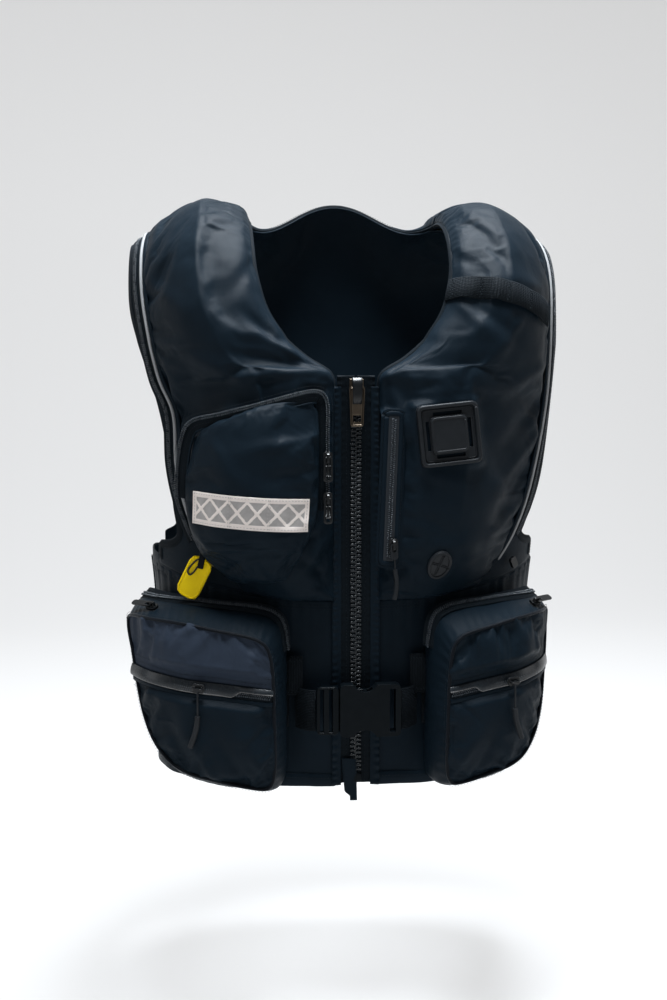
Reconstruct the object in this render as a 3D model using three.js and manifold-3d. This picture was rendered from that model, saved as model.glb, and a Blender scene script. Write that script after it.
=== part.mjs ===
// Inflatable life jacket with pockets, as worn on the torso.
//
// Millimetres. +Z is up, the front faces -Y, and the wearer's right is -X.
// The origin lies between the shoulders, at the height where the jacket rests on them.
//
// Every soft layer lies on one curved base sheet, the harness, which follows the wearer's
// chest, shoulders and back. A place on that sheet is (x, down): down is 0 along the top of
// the shoulders, 1 at the level of the upper chest and more below it. It is positive at the
// front and negative at the back. Height is the distance from the sheet, outwards.

import * as THREE from 'three';
import { mergeVertices } from 'three/addons/utils/BufferGeometryUtils.js';
import Module from 'manifold-3d';

const wasm = await Module();
wasm.setup();

// ---------------------------------------------------------------- driving dimensions

const torso = {
  frontDepth: 130,
  exponent: 2.5,
  halfWidths: [[-522, 186], [-430, 186], [-345, 188], [-250, 200], [-110, 215]],
  backDepths: [[-522, 99], [-430, 98], [-345, 94], [-250, 100], [-110, 108]],
};
const shoulder = { height: 8, drop: 22, napeRise: 62, halfWidth: 205, roundness: 2.3 };
const neck = { halfWidth: 93, backDepth: 70 };
const levels = { chest: -110, run: 200, waist: -347, hem: -522, sideRise: 28 };

const fabric = { thickness: 1.8, seamGap: 0.8, skin: 1.5 };
const lobe = {
  heights: [[0, 26], [0.6, 29], [1, 32], [1.45, 35], [1.9, 33], [2.05, 24], [2.19, 8]],
  edgeHeight: 1,
  fullness: 0.4,
  startDown: 0.002,
};
const mainZip = { top: -150, bottom: -512, tapeTop: -142, tapeBottom: -519, tapeHalfWidth: 17.5 };
const mainSlider = { z: -154, scale: 1.6 };
const belt = { width: 38, thickness: 1.6, z: -445, y: -149 };

// Outlines on the front, as [x, z] on one side, measured from the middle of the jacket.
const innerEdge = [
  [93, 8], [90, -40], [84, -70], [76, -90], [62, -111], [42, -128], [24, -139], [20, -150], [20, -347],
];
const outerEdge = {
  right: [[186, -4], [189, -32], [186, -80], [173, -144], [160, -175], [157, -229], [141, -293],
    [121, -329], [98, -347]],
  left: [[184, -3], [190, -36], [188, -97], [185, -165], [169, -241], [148, -303], [120, -341],
    [112, -347]],
};
const armEdge = {
  right: [[205, -14], [208, -57], [204, -91], [180, -167], [170, -219], [166, -267], [163, -303],
    [170, -316], [182, -324]],
  left: [[205, -14], [206, -57], [204, -155], [196, -221], [178, -273], [166, -303], [172, -316],
    [182, -324]],
};
const backArmEdge = [[205, 0], [190, 0.4], [172, 0.9], [168, 1.4], [166, 1.9], [172, 2.02], [182, 2.06]];
const collarReach = { halfWidth: 186, down: 1.2, squareness: 0.7 };

// ---------------------------------------------------------------- materials

function finish(color, roughness, metalness = 0) {
  return new THREE.MeshStandardMaterial({ color, roughness, metalness });
}

const navyFabric = finish(0x171c26, 0.55);
const blackFabric = finish(0x0c0e12, 0.8);
const blackWebbing = finish(0x0a0b0d, 0.85);
const blackPlastic = finish(0x0d0e10, 0.45);
const blackRubber = finish(0x101214, 0.7);
const darkMetal = finish(0x2a2622, 0.35, 0.8);
const paintedMetal = finish(0x0d0d0e, 0.4, 0.3);
const pipingSilver = finish(0xc9cbcd, 0.45);
const reflectiveWhite = finish(0xd9cfcd, 0.4);
const bladderYellow = finish(0xe6cf1e, 0.5);
const yellowPlastic = finish(0xe2cc12, 0.4);
const cylinderSteel = finish(0x8d8f92, 0.35, 0.9);

// ---------------------------------------------------------------- the base sheet

// A smooth function through [at, value] pairs in rising order, level beyond both ends.
function track(pairs) {
  const slopes = pairs.map((_, i) => {
    const before = pairs[Math.max(0, i - 1)];
    const after = pairs[Math.min(pairs.length - 1, i + 1)];
    return (after[1] - before[1]) / (after[0] - before[0]);
  });
  return (at) => {
    if (at <= pairs[0][0]) return pairs[0][1];
    for (let i = 1; i < pairs.length; i += 1) {
      const [a, valueA] = pairs[i - 1];
      const [b, valueB] = pairs[i];
      if (at > b) continue;
      const span = b - a;
      const t = (at - a) / span;
      const rise = t * t * (3 - 2 * t);
      const bendA = t * (1 - t) * (1 - t) * span * slopes[i - 1];
      const bendB = t * t * (t - 1) * span * slopes[i];
      return valueA + (valueB - valueA) * rise + bendA + bendB;
    }
    return pairs[pairs.length - 1][1];
  };
}

const halfWidthAt = track(torso.halfWidths);
const backDepthAt = track(torso.backDepths);

function crownHeight(x) {
  const inner = Math.min(1, Math.abs(x) / neck.halfWidth);
  const outer = Math.max(0, Math.abs(x) - neck.halfWidth) / (shoulder.halfWidth - neck.halfWidth);
  const nape = shoulder.napeRise * Math.cos(inner * Math.PI / 2) ** 2;
  return shoulder.height - shoulder.drop * outer ** 3 + nape - levels.chest;
}

function rim(x, halfWidth) {
  const share = Math.min(1, Math.abs(x) / halfWidth);
  return (1 - share ** torso.exponent) ** (1 / torso.exponent);
}

function basePoint(x, down) {
  const level = Math.abs(down);
  const front = down >= 0;
  const z = levels.chest - Math.max(0, level - 1) * levels.run;
  const depth = front ? -torso.frontDepth : backDepthAt(z);
  const y = depth * rim(x, halfWidthAt(z));
  if (level >= 1) return new THREE.Vector3(x, y, z);
  const angle = (1 - level) * Math.PI / 2;
  const power = 2 / shoulder.roundness;
  const rise = crownHeight(x) * Math.sin(angle) ** power;
  return new THREE.Vector3(x, y * Math.cos(angle) ** power, levels.chest + rise);
}

function outward(x, down) {
  const stepX = 0.5;
  const stepDown = 0.004;
  const along = basePoint(x, down + stepDown).sub(basePoint(x, down - stepDown));
  const across = basePoint(x + stepX, down).sub(basePoint(x - stepX, down));
  return along.cross(across).normalize();
}

function sheetPoint(x, down, height) {
  return basePoint(x, down).addScaledVector(outward(x, down), height);
}

// The front's down value at a column and a height above the origin.
function downAt(x, z) {
  if (z <= levels.chest) return 1 + (levels.chest - z) / levels.run;
  const share = Math.min(1, (z - levels.chest) / crownHeight(x));
  return 1 - Math.asin(share ** (shoulder.roundness / 2)) * 2 / Math.PI;
}

function frontPoint(x, z, height) {
  return sheetPoint(x, downAt(x, z), height);
}

function edgeTrack(outline) {
  return track(outline.map(([x, z]) => [downAt(x, z), x]));
}

function waistDown(x) {
  const share = Math.min(1, Math.abs(x) / halfWidthAt(levels.waist));
  return downAt(x, levels.waist + levels.sideRise * share ** torso.exponent);
}

// ---------------------------------------------------------------- geometry helpers

function signedVolume(geometry) {
  const place = geometry.getAttribute('position');
  const index = geometry.getIndex();
  const [a, b, c] = [new THREE.Vector3(), new THREE.Vector3(), new THREE.Vector3()];
  let total = 0;
  for (let i = 0; i < index.count; i += 3) {
    a.fromBufferAttribute(place, index.getX(i));
    b.fromBufferAttribute(place, index.getX(i + 1));
    c.fromBufferAttribute(place, index.getX(i + 2));
    total += a.dot(b.cross(c));
  }
  return total;
}

function closed(geometry) {
  geometry.deleteAttribute('normal');
  geometry.deleteAttribute('uv');
  const merged = mergeVertices(geometry, 1e-4);
  if (signedVolume(merged) < 0) {
    merged.setIndex(Array.from(merged.getIndex().array).reverse());
  }
  return merged;
}

function toSolid(geometry) {
  const merged = closed(geometry);
  return new wasm.Manifold(new wasm.Mesh({
    numProp: 3,
    vertProperties: new Float32Array(merged.getAttribute('position').array),
    triVerts: new Uint32Array(merged.getIndex().array),
  }));
}

function toGeometry(solid) {
  const mesh = solid.getMesh();
  const geometry = new THREE.BufferGeometry();
  geometry.setAttribute('position', new THREE.BufferAttribute(new Float32Array(mesh.vertProperties), 3));
  geometry.setIndex(Array.from(mesh.triVerts));
  return geometry;
}

function join(first, ...others) {
  return toGeometry(others.reduce((sum, next) => sum.add(toSolid(next)), toSolid(first)));
}

function cut(first, ...tools) {
  return toGeometry(tools.reduce((rest, tool) => rest.subtract(toSolid(tool)), toSolid(first)));
}

function moved(geometry, x, y, z) {
  return geometry.translate(x, y, z);
}

function box(width, depth, height, x = 0, y = 0, z = 0) {
  return moved(new THREE.BoxGeometry(width, depth, height), x, y, z);
}

// A closed skin between two grids of points: inner(i, j) and outer(i, j).
function slab(rows, columns, inner, outer) {
  const points = [];
  const at = (face, i, j) => (face * (rows + 1) + i) * (columns + 1) + j;
  for (const face of [inner, outer]) {
    for (let i = 0; i <= rows; i += 1) {
      for (let j = 0; j <= columns; j += 1) points.push(...face(i / rows, j / columns).toArray());
    }
  }
  const index = [];
  const quad = (a, b, c, d) => index.push(a, b, c, a, c, d);
  for (let i = 0; i < rows; i += 1) {
    for (let j = 0; j < columns; j += 1) {
      quad(at(0, i, j), at(0, i, j + 1), at(0, i + 1, j + 1), at(0, i + 1, j));
      quad(at(1, i, j), at(1, i + 1, j), at(1, i + 1, j + 1), at(1, i, j + 1));
    }
    quad(at(0, i, 0), at(0, i + 1, 0), at(1, i + 1, 0), at(1, i, 0));
    quad(at(0, i, columns), at(1, i, columns), at(1, i + 1, columns), at(0, i + 1, columns));
  }
  for (let j = 0; j < columns; j += 1) {
    quad(at(0, 0, j), at(1, 0, j), at(1, 0, j + 1), at(0, 0, j + 1));
    quad(at(0, rows, j), at(0, rows, j + 1), at(1, rows, j + 1), at(1, rows, j));
  }
  const geometry = new THREE.BufferGeometry();
  geometry.setAttribute('position', new THREE.BufferAttribute(new Float32Array(points), 3));
  geometry.setIndex(index);
  return closed(geometry);
}

// A flat strip along a list of {point, across, up}: half a width each side, from low to high.
function ribbon(stations, width, low, high) {
  const corner = (t, j, height) => {
    const { point, across, up } = stations[Math.round(t * (stations.length - 1))];
    return point.clone().addScaledVector(across, (j - 0.5) * width).addScaledVector(up, height);
  };
  return slab(stations.length - 1, 1, (t, j) => corner(t, j, low), (t, j) => corner(t, j, high));
}

// Stations along a run of places [x, down] on the base sheet at one height.
function sheetStations(places, height) {
  const points = places.map(([x, down]) => sheetPoint(x, down, height));
  return points.map((point, i) => {
    const ahead = points[Math.min(points.length - 1, i + 1)].clone();
    const forward = ahead.sub(points[Math.max(0, i - 1)]).normalize();
    const up = outward(...places[i]);
    return { point, across: forward.cross(up).normalize(), up };
  });
}

function steps(count) {
  return Array.from({ length: count + 1 }, (_, i) => i / count);
}

function tube(points, radius, sides, stepsAlong) {
  const section = new THREE.Shape();
  for (let i = 0; i < sides; i += 1) {
    const angle = (i / sides) * 2 * Math.PI;
    const place = [radius * Math.cos(angle), radius * Math.sin(angle)];
    if (i === 0) section.moveTo(...place);
    else section.lineTo(...place);
  }
  section.closePath();
  const path = new THREE.CatmullRomCurve3(points);
  return closed(new THREE.ExtrudeGeometry(section, {
    steps: stepsAlong, extrudePath: path, bevelEnabled: false,
  }));
}

function roundedRect(width, height, radius, x = 0, y = 0) {
  const [right, top] = [width / 2, height / 2];
  const shape = new THREE.Shape();
  shape.moveTo(x - right + radius, y - top);
  shape.lineTo(x + right - radius, y - top);
  shape.absarc(x + right - radius, y - top + radius, radius, -Math.PI / 2, 0);
  shape.lineTo(x + right, y + top - radius);
  shape.absarc(x + right - radius, y + top - radius, radius, 0, Math.PI / 2);
  shape.lineTo(x - right + radius, y + top);
  shape.absarc(x - right + radius, y + top - radius, radius, Math.PI / 2, Math.PI);
  shape.lineTo(x - right, y - top + radius);
  shape.absarc(x - right + radius, y - top + radius, radius, Math.PI, Math.PI * 1.5);
  return shape;
}

// A plate that faces the front: the shape stands in X and Z, from y = back to back - thickness.
function plate(shape, thickness, back = 0) {
  const geometry = new THREE.ExtrudeGeometry(shape, {
    depth: thickness, bevelEnabled: false, curveSegments: 1,
  });
  return moved(geometry.rotateX(Math.PI / 2), 0, back, 0);
}

// A side profile drawn as (z, outwards), extruded along X about the middle.
function profile(shape, width) {
  const geometry = new THREE.ExtrudeGeometry(shape, {
    depth: width, bevelEnabled: false,
  });
  const turn = new THREE.Matrix4().makeBasis(
    new THREE.Vector3(0, 0, 1), new THREE.Vector3(0, -1, 0), new THREE.Vector3(1, 0, 0),
  );
  return moved(geometry.applyMatrix4(turn), -width / 2, 0, 0);
}

function polygon(points) {
  return new THREE.Shape(points.map(([x, y]) => new THREE.Vector2(x, y)));
}

// ---------------------------------------------------------------- assembly helpers

const jacket = new THREE.Group();

function add(name, geometry, material, frame = null) {
  const mesh = new THREE.Mesh(closed(geometry), material);
  mesh.name = name;
  if (frame) {
    mesh.position.copy(frame.position);
    mesh.quaternion.copy(frame.quaternion);
  }
  jacket.add(mesh);
  return mesh;
}

// A frame whose local -Y faces along out and whose local Z leans as near up as it can,
// turned by spin degrees about out.
function facing(position, out, spin = 0) {
  const back = out.clone().negate().normalize();
  const up = new THREE.Vector3(0, 0, 1).addScaledVector(back, -back.z).normalize();
  const right = back.clone().cross(up);
  const turn = new THREE.Matrix4().makeBasis(right, back, up);
  const quaternion = new THREE.Quaternion().setFromRotationMatrix(turn);
  const twist = new THREE.Quaternion().setFromAxisAngle(out.clone().normalize(), spin * Math.PI / 180);
  return { position, quaternion: twist.multiply(quaternion) };
}

// The same frame with its origin moved by a local offset.
function offsetFrame(frame, x, y, z) {
  const shift = new THREE.Vector3(x, y, z).applyQuaternion(frame.quaternion);
  return { position: frame.position.clone().add(shift), quaternion: frame.quaternion };
}

const FRONT = new THREE.Vector3(0, -1, 0);
const sides = [
  { name: 'right', sign: -1 },
  { name: 'left', sign: 1 },
];

// ---------------------------------------------------------------- harness and band panels

const innerAt = edgeTrack(innerEdge);
const outerAt = { right: edgeTrack(outerEdge.right), left: edgeTrack(outerEdge.left) };
const armAt = { right: edgeTrack(armEdge.right), left: edgeTrack(armEdge.left) };
const backArmAt = track(backArmEdge.map(([x, down]) => [down, x]));
const bottomDown = downAt(0, levels.waist);
const lobeRows = 20;
const lobeColumns = 7;

// A place on a front lobe: t runs from the shoulder seam to the waist seam, x is the column.
function lobePlace(x, t) {
  const plain = lobe.startDown + t * (bottomDown - lobe.startDown);
  const settle = THREE.MathUtils.smoothstep(t, 0.75, 1);
  return [x, plain + (waistDown(x) - bottomDown) * settle];
}

function plainDown(t) {
  return lobe.startDown + t * (bottomDown - lobe.startDown);
}

// The lobe's columns between the zip edge and the piping edge, share 0 to 1.
function lobeColumn(side, t, share) {
  const inner = innerAt(plainDown(t));
  return side.sign * (inner + share * (outerAt[side.name](plainDown(t)) - inner));
}

function harnessFront(side) {
  const columns = lobeColumns + 1;
  const column = (t, j) => {
    const step = j * columns;
    if (step <= lobeColumns) return lobeColumn(side, t, step / lobeColumns);
    return side.sign * armAt[side.name](plainDown(t));
  };
  const point = (t, j, height) => {
    const [x, down] = lobePlace(column(t, j), t);
    return sheetPoint(x, down, height);
  };
  const lift = (t) => (t === 1 ? fabric.seamGap : 0);
  return slab(
    lobeRows, columns,
    (t, j) => point(t, j, -fabric.thickness).add(new THREE.Vector3(0, 0, lift(t))),
    (t, j) => point(t, j, 0).add(new THREE.Vector3(0, 0, lift(t))),
  );
}

function neckDown(x) {
  const reach = neck.backDepth * Math.sqrt(Math.max(0, 1 - (x / neck.halfWidth) ** 2));
  const depth = backDepthAt(levels.chest) * rim(x, halfWidthAt(levels.chest));
  const angle = Math.acos(Math.min(1, reach / depth) ** (shoulder.roundness / 2));
  return Math.max(lobe.startDown, 1 - angle * 2 / Math.PI);
}

// The back panel lies a little under the base sheet, clear of the collar's padding.
const backDrop = 2.4;

function backPanel() {
  const rows = 14;
  const columns = 16;
  const place = (t, j) => {
    const share = j * 2 - 1;
    const reach = shoulder.halfWidth * share;
    const top = Math.abs(reach) < neck.halfWidth ? neckDown(reach) : lobe.startDown;
    const plain = top + t * (bottomDown - top);
    const x = share * backArmAt(plain);
    const settle = THREE.MathUtils.smoothstep(t, 0.75, 1);
    return [x, -(plain + (waistDown(x) - bottomDown) * settle)];
  };
  const lift = (t) => new THREE.Vector3(0, 0, t === 1 ? fabric.seamGap : 0);
  return slab(
    rows, columns,
    (t, j) => sheetPoint(...place(t, j), -backDrop - fabric.thickness).add(lift(t)),
    (t, j) => sheetPoint(...place(t, j), -backDrop).add(lift(t)),
  );
}

// A place on the waist band: round is the angle in degrees from the front middle, positive
// towards the wearer's left.
function bandPoint(round, z, height) {
  const base = (degrees) => {
    const angle = degrees * Math.PI / 180;
    const power = 2 / torso.exponent;
    const depth = Math.cos(angle) > 0 ? torso.frontDepth : backDepthAt(z);
    return new THREE.Vector3(
      halfWidthAt(z) * Math.sign(Math.sin(angle)) * Math.abs(Math.sin(angle)) ** power,
      -depth * Math.sign(Math.cos(angle)) * Math.abs(Math.cos(angle)) ** power,
      z,
    );
  };
  const along = base(round + 0.5).sub(base(round - 0.5)).normalize();
  const out = along.cross(new THREE.Vector3(0, 0, 1));
  return { point: base(round).addScaledVector(out, height), out };
}

function bandTop(round) {
  const share = Math.abs(Math.sin(round * Math.PI / 180)) ** 2;
  return levels.waist + levels.sideRise * share - fabric.seamGap;
}

function bandPanel(from, to, columns) {
  const rows = 5;
  const place = (t, j, height) => {
    const round = from + j * (to - from);
    const z = bandTop(round) + t * (levels.hem - bandTop(round));
    return bandPoint(round, z, height).point;
  };
  return slab(rows, columns, (t, j) => place(t, j, -fabric.thickness), (t, j) => place(t, j, 0));
}

const bandStart = 3.4;
const sideSeam = 90;
const seamTurn = 0.3;

for (const side of sides) {
  add(`harness_front_${side.name}`, harnessFront(side), blackFabric);
  add(
    `lower_front_${side.name}`,
    bandPanel(side.sign * bandStart, side.sign * (sideSeam - seamTurn), 10),
    navyFabric,
  );
}
add('back_panel', backPanel(), blackFabric);
add('lower_back', bandPanel(sideSeam + seamTurn, 360 - sideSeam - seamTurn, 18), blackFabric);

// ---------------------------------------------------------------- bladder, covers, piping

const lobeHeightAt = track(lobe.heights);

// Height of the cover's outer face, at a share across the lobe.
function coverHeight(down, share) {
  const swell = Math.max(0, 4 * share * (1 - share)) ** lobe.fullness;
  return lobe.edgeHeight + fabric.skin + lobeHeightAt(Math.abs(down)) * swell;
}

function lobeShare(side, x, down) {
  const inner = innerAt(down);
  return (Math.abs(x) - inner) / (outerAt[side.name](down) - inner);
}

// A place on the collar: turn 0 is the right shoulder seam, 1 the left one.
function collarPlace(turn, share) {
  const angle = turn * Math.PI;
  const innerX = -neck.halfWidth * Math.cos(angle);
  const reach = Math.abs(Math.cos(angle)) ** collarReach.squareness;
  const outerX = -Math.sign(Math.cos(angle)) * reach * collarReach.halfWidth;
  const outerDown = Math.max(lobe.startDown, collarReach.down * Math.sin(angle) ** collarReach.squareness);
  const innerDown = neckDown(innerX);
  return [innerX + share * (outerX - innerX), -(innerDown + share * (outerDown - innerDown))];
}

function coverLobe(side) {
  const face = (drop) => (t, j) => {
    const [x, down] = lobePlace(lobeColumn(side, t, j), t);
    const lift = t === 1 ? fabric.seamGap : 0;
    return sheetPoint(x, down, coverHeight(down, j) - drop).add(new THREE.Vector3(0, 0, lift));
  };
  return slab(lobeRows, lobeColumns, face(fabric.skin), face(0));
}

function coverCollar() {
  const face = (drop) => (turn, share) => {
    const [x, down] = collarPlace(turn, share);
    return sheetPoint(x, down, coverHeight(0, share) - drop);
  };
  return slab(18, lobeColumns, face(fabric.skin), face(0));
}

// The bladder runs down one lobe, round the neck and down the other lobe. It leaves room in
// the right lobe for the inflator and its cylinder.
function bladder() {
  const lobeSteps = 15;
  const collarSteps = 18;
  const rows = 2 * lobeSteps + collarSteps;
  const top = { low: 3.6, share: 0.42 };
  const margins = { inner: 0.1, outer: 0.9, besideCylinder: 0.44 };
  const lowest = 0.93;
  const place = (t, j) => {
    const row = t * rows;
    if (row >= lobeSteps && row <= rows - lobeSteps) {
      const share = margins.inner + j * (margins.outer - margins.inner);
      return [...collarPlace((row - lobeSteps) / collarSteps, share), share];
    }
    const side = row < lobeSteps ? sides[0] : sides[1];
    const along = (row < lobeSteps ? lobeSteps - row : row - rows + lobeSteps) / lobeSteps;
    const narrowing = side.sign < 0 ? THREE.MathUtils.smoothstep(along, 0.45, 0.62) : 0;
    const outer = margins.outer + narrowing * (margins.besideCylinder - margins.outer);
    const share = margins.inner + j * (outer - margins.inner);
    const [x, down] = lobePlace(lobeColumn(side, along * lowest, share), along * lowest);
    return [x, down, share];
  };
  const face = (share) => (t, j) => {
    const [x, down, across] = place(t, j);
    const height = top.low + share * (coverHeight(down, across) - fabric.skin - top.low);
    return sheetPoint(x, down, height);
  };
  return slab(rows, 4, face(0), face(top.share));
}

for (const side of sides) add(`cover_${side.name}`, coverLobe(side), navyFabric);
add('collar_cover', coverCollar(), navyFabric);
add('bladder', bladder(), bladderYellow);

// Places along the cover's outer edge, moved out by a margin: right lobe, collar, left lobe.
function hemPlaces(margin, lobeSteps, collarSteps, lowest) {
  const lobeRun = (side) => steps(lobeSteps).map((t) => {
    const x = side.sign * (outerAt[side.name](plainDown(t * lowest)) + margin);
    return lobePlace(x, t * lowest);
  });
  const collarRun = steps(collarSteps).slice(1, -1).map((turn) => {
    const [x, down] = collarPlace(turn, 1);
    const angle = turn * Math.PI;
    return [x - margin * Math.cos(angle), down - (margin / levels.run) * Math.sin(angle)];
  });
  return [...lobeRun(sides[0]).reverse(), ...collarRun, ...lobeRun(sides[1])];
}

const piping = { radius: 1.5, margin: 3.6, height: 3 };
add('piping', tube(
  hemPlaces(piping.margin, 19, 18, 0.95).map(([x, down]) => sheetPoint(x, down, piping.height)),
  piping.radius, 6, 70,
), pipingSilver);

const burstZip = { margin: 10.4, width: 7, low: 1.6, high: 3.6, lowest: 0.9 };
const burstPlaces = hemPlaces(burstZip.margin, 18, 20, burstZip.lowest);
add(
  'burst_zip',
  ribbon(sheetStations(burstPlaces, 0), burstZip.width, burstZip.low, burstZip.high), blackFabric,
);

// ---------------------------------------------------------------- sliders and pullers

const sliderSize = {
  width: 8, length: 11, thickness: 2.2, archWidth: 2.2, axis: 1.9,
  archHalfLength: 4.2, archTop: 2.9, legInner: 3, roof: 1.7,
};
const pullerSize = {
  width: 6.6, thickness: 1.6, length: 25, above: 1.2, windowTop: -0.9, windowBottom: -6, window: 3.8,
};

// The arch that a puller hangs on. The puller's hinge is the local X axis, and the slider's
// body lies behind it, with its back face at y = axis + thickness.
function archGeometry(k = 1) {
  const s = sliderSize;
  const foot = -s.axis - 0.5;
  const arch = polygon([
    [-s.archHalfLength, foot], [-s.archHalfLength, 1.9], [-3.2, s.archTop], [3.2, s.archTop],
    [s.archHalfLength, 1.9], [s.archHalfLength, foot], [s.legInner, foot], [s.legInner, s.roof],
    [-s.legInner, s.roof], [-s.legInner, foot],
  ].map(([z, out]) => [z * k, out * k]));
  return profile(arch, s.archWidth * k);
}

function sliderGeometry() {
  const s = sliderSize;
  const body = plate(roundedRect(s.width, s.length, 2), s.thickness, s.axis + s.thickness);
  return join(body, archGeometry());
}

// A flat puller that hangs from its crossbar, which lies on the local X axis.
function pullerGeometry(k = 1, length = pullerSize.length) {
  const p = pullerSize;
  const height = length + p.above * k;
  const shape = roundedRect(p.width * k, height, 2.2 * k, 0, p.above * k - height / 2);
  const windowHeight = (p.windowTop - p.windowBottom) * k;
  const middle = (p.windowTop + p.windowBottom) * k / 2;
  shape.holes.push(roundedRect(p.window * k, windowHeight, 0.8 * k, 0, middle));
  return plate(shape, p.thickness * k, p.thickness * k / 2);
}

// A cord through the slider's arch that ends in a moulded grip; hook bends the grip sideways.
function cordPullGeometry(drop, gripLength, hook) {
  const cordRadius = 0.9;
  const gripRadius = 2.5;
  const cord = tube([
    new THREE.Vector3(0, 0, 1),
    new THREE.Vector3(0, 0.05, -3),
    new THREE.Vector3(0, -0.6, -drop / 2),
    new THREE.Vector3(0, -0.6, -drop - 2),
  ], cordRadius, 8, 6);
  const grip = tube([
    new THREE.Vector3(0, -0.6, -drop),
    new THREE.Vector3(hook * 0.15, -0.8, -drop - gripLength * 0.35),
    new THREE.Vector3(hook * 0.55, -0.8, -drop - gripLength * 0.7),
    new THREE.Vector3(hook, -0.6, -drop - gripLength),
  ], gripRadius, 8, 6);
  return join(cord, grip);
}

// A short ring puller with a cord and a moulded grip below it.
function ringPullGeometry() {
  const ringLength = 13;
  const cord = tube([
    new THREE.Vector3(0, 0, -ringLength + 2),
    new THREE.Vector3(0.3, 0, -ringLength - 4),
    new THREE.Vector3(0, 0, -ringLength - 10),
  ], 0.75, 8, 4);
  const grip = tube([
    new THREE.Vector3(0, 0, -ringLength - 9),
    new THREE.Vector3(1.2, 0, -ringLength - 20),
    new THREE.Vector3(0, 0, -ringLength - 31),
    new THREE.Vector3(-1.4, 0, -ringLength - 36),
  ], 2.2, 8, 6);
  return join(pullerGeometry(1, ringLength), cord, grip);
}

function addSlider(name, frame) {
  return add(name, sliderGeometry(), paintedMetal, frame);
}

function seatedFrame(x, z, height, spin) {
  const down = downAt(x, z);
  const lift = height + sliderSize.axis + sliderSize.thickness;
  return facing(sheetPoint(x, down, lift), outward(x, down), spin);
}

// The burst zip's two sliders are parked at its lower ends and carry no puller.
const burstSlider = { right: [-144, -318, -33], left: [151, -318, 33] };
for (const side of sides) {
  const [x, z, spin] = burstSlider[side.name];
  const frame = seatedFrame(x, z, burstZip.high + 1.4, spin);
  add(
    `burst_slider_${side.name}`,
    plate(roundedRect(8, 11, 2), 3, sliderSize.axis + sliderSize.thickness),
    paintedMetal, frame,
  );
}

// ---------------------------------------------------------------- main zip

const rail = { inner: 0.3, outer: 4.2, halfThickness: 1.9 };
const tapeThickness = 1;

function mainZipHalf(sign) {
  const middle = (mainZip.tapeTop + mainZip.tapeBottom) / 2;
  const tapeHeight = mainZip.tapeTop - mainZip.tapeBottom;
  const tapeWidth = mainZip.tapeHalfWidth - rail.outer + 0.5;
  const tape = box(
    tapeWidth, tapeThickness, tapeHeight,
    sign * (mainZip.tapeHalfWidth - tapeWidth / 2), -torso.frontDepth, middle,
  );
  const teeth = box(
    rail.outer - rail.inner, 2 * rail.halfThickness, mainZip.top - mainZip.bottom,
    sign * (rail.outer + rail.inner) / 2, -torso.frontDepth, (mainZip.top + mainZip.bottom) / 2,
  );
  if (sign < 0) return join(tape, teeth);
  const stopBox = box(6, 5, 6.4, 3.4, -torso.frontDepth, mainZip.bottom - 2.5);
  return join(tape, teeth, stopBox);
}

function mainSliderGeometry() {
  const k = mainSlider.scale;
  const plateThickness = 2;
  const clear = 0.5;
  const half = rail.halfThickness + clear;
  const axisOut = half + plateThickness + sliderSize.axis * k;
  const width = 2 * (rail.outer + clear + 1.6);
  const length = sliderSize.length * k;
  const front = moved(archGeometry(k), 0, -axisOut, 0);
  const shell = box(width, 2 * (half + plateThickness), length);
  const tunnel = box(2 * (rail.outer + clear), 2 * half, length + 2);
  const slots = box(width + 2, 2 * (tapeThickness / 2 + clear), length + 2);
  const wedge = box(3, 2 * half + 1, 3.4, 0, 0, length / 2 - 1.7);
  return join(cut(shell, tunnel, slots), front, wedge);
}

for (const side of sides) {
  add(`main_zip_${side.name}`, mainZipHalf(side.sign), blackPlastic);
}
const sliderFrame = {
  position: new THREE.Vector3(0, -torso.frontDepth, mainSlider.z),
  quaternion: new THREE.Quaternion(),
};
add('main_slider', mainSliderGeometry(), darkMetal, sliderFrame);
const mainAxisOut = rail.halfThickness + 0.5 + 2 + sliderSize.axis * mainSlider.scale;
add(
  'main_puller', pullerGeometry(mainSlider.scale, 34), paintedMetal,
  offsetFrame(sliderFrame, 0, -mainAxisOut, 0),
);

const endTab = { width: 14, x: -6.5, top: -495, bottom: -536, thickness: 1.6 };
add('zip_end_tab', plate(polygon([
  [endTab.x - endTab.width / 2, endTab.top], [endTab.x + endTab.width / 2, endTab.top],
  [endTab.x + endTab.width / 2 + 1, endTab.bottom], [endTab.x - endTab.width / 2 + 3, endTab.bottom + 9],
]), endTab.thickness, -torso.frontDepth - rail.halfThickness - 0.8), blackWebbing);

// ---------------------------------------------------------------- waist belt and buckle

function beltStations(from, to, count) {
  return steps(count).map((t) => {
    const { point, out } = bandPoint(from + t * (to - from), belt.z, 2.2);
    return { point, across: new THREE.Vector3(0, 0, 1), up: out };
  });
}

// The belt leaves the lower panel and comes forward to the buckle.
function beltNose(points) {
  return points.map(([x, y], i) => {
    const ahead = points[Math.min(points.length - 1, i + 1)];
    const before = points[Math.max(0, i - 1)];
    const forward = new THREE.Vector3(ahead[0] - before[0], ahead[1] - before[1], 0).normalize();
    const upright = new THREE.Vector3(0, 0, 1);
    return {
      point: new THREE.Vector3(x, y, belt.z),
      across: upright,
      up: forward.clone().cross(upright).multiplyScalar(-1),
    };
  });
}

const noseLeft = [[39.8, belt.y], [46, belt.y + 3], [51, belt.y + 9], [55.5, belt.y + 15]];
const waistBelt = [
  ...beltNose(noseLeft).map((station) => ({ ...station, up: station.up.clone().negate() })),
  ...beltStations(14.5, 345.5, 46),
];
add('waist_belt', ribbon(waistBelt, belt.width, 0, belt.thickness), blackWebbing);

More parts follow.
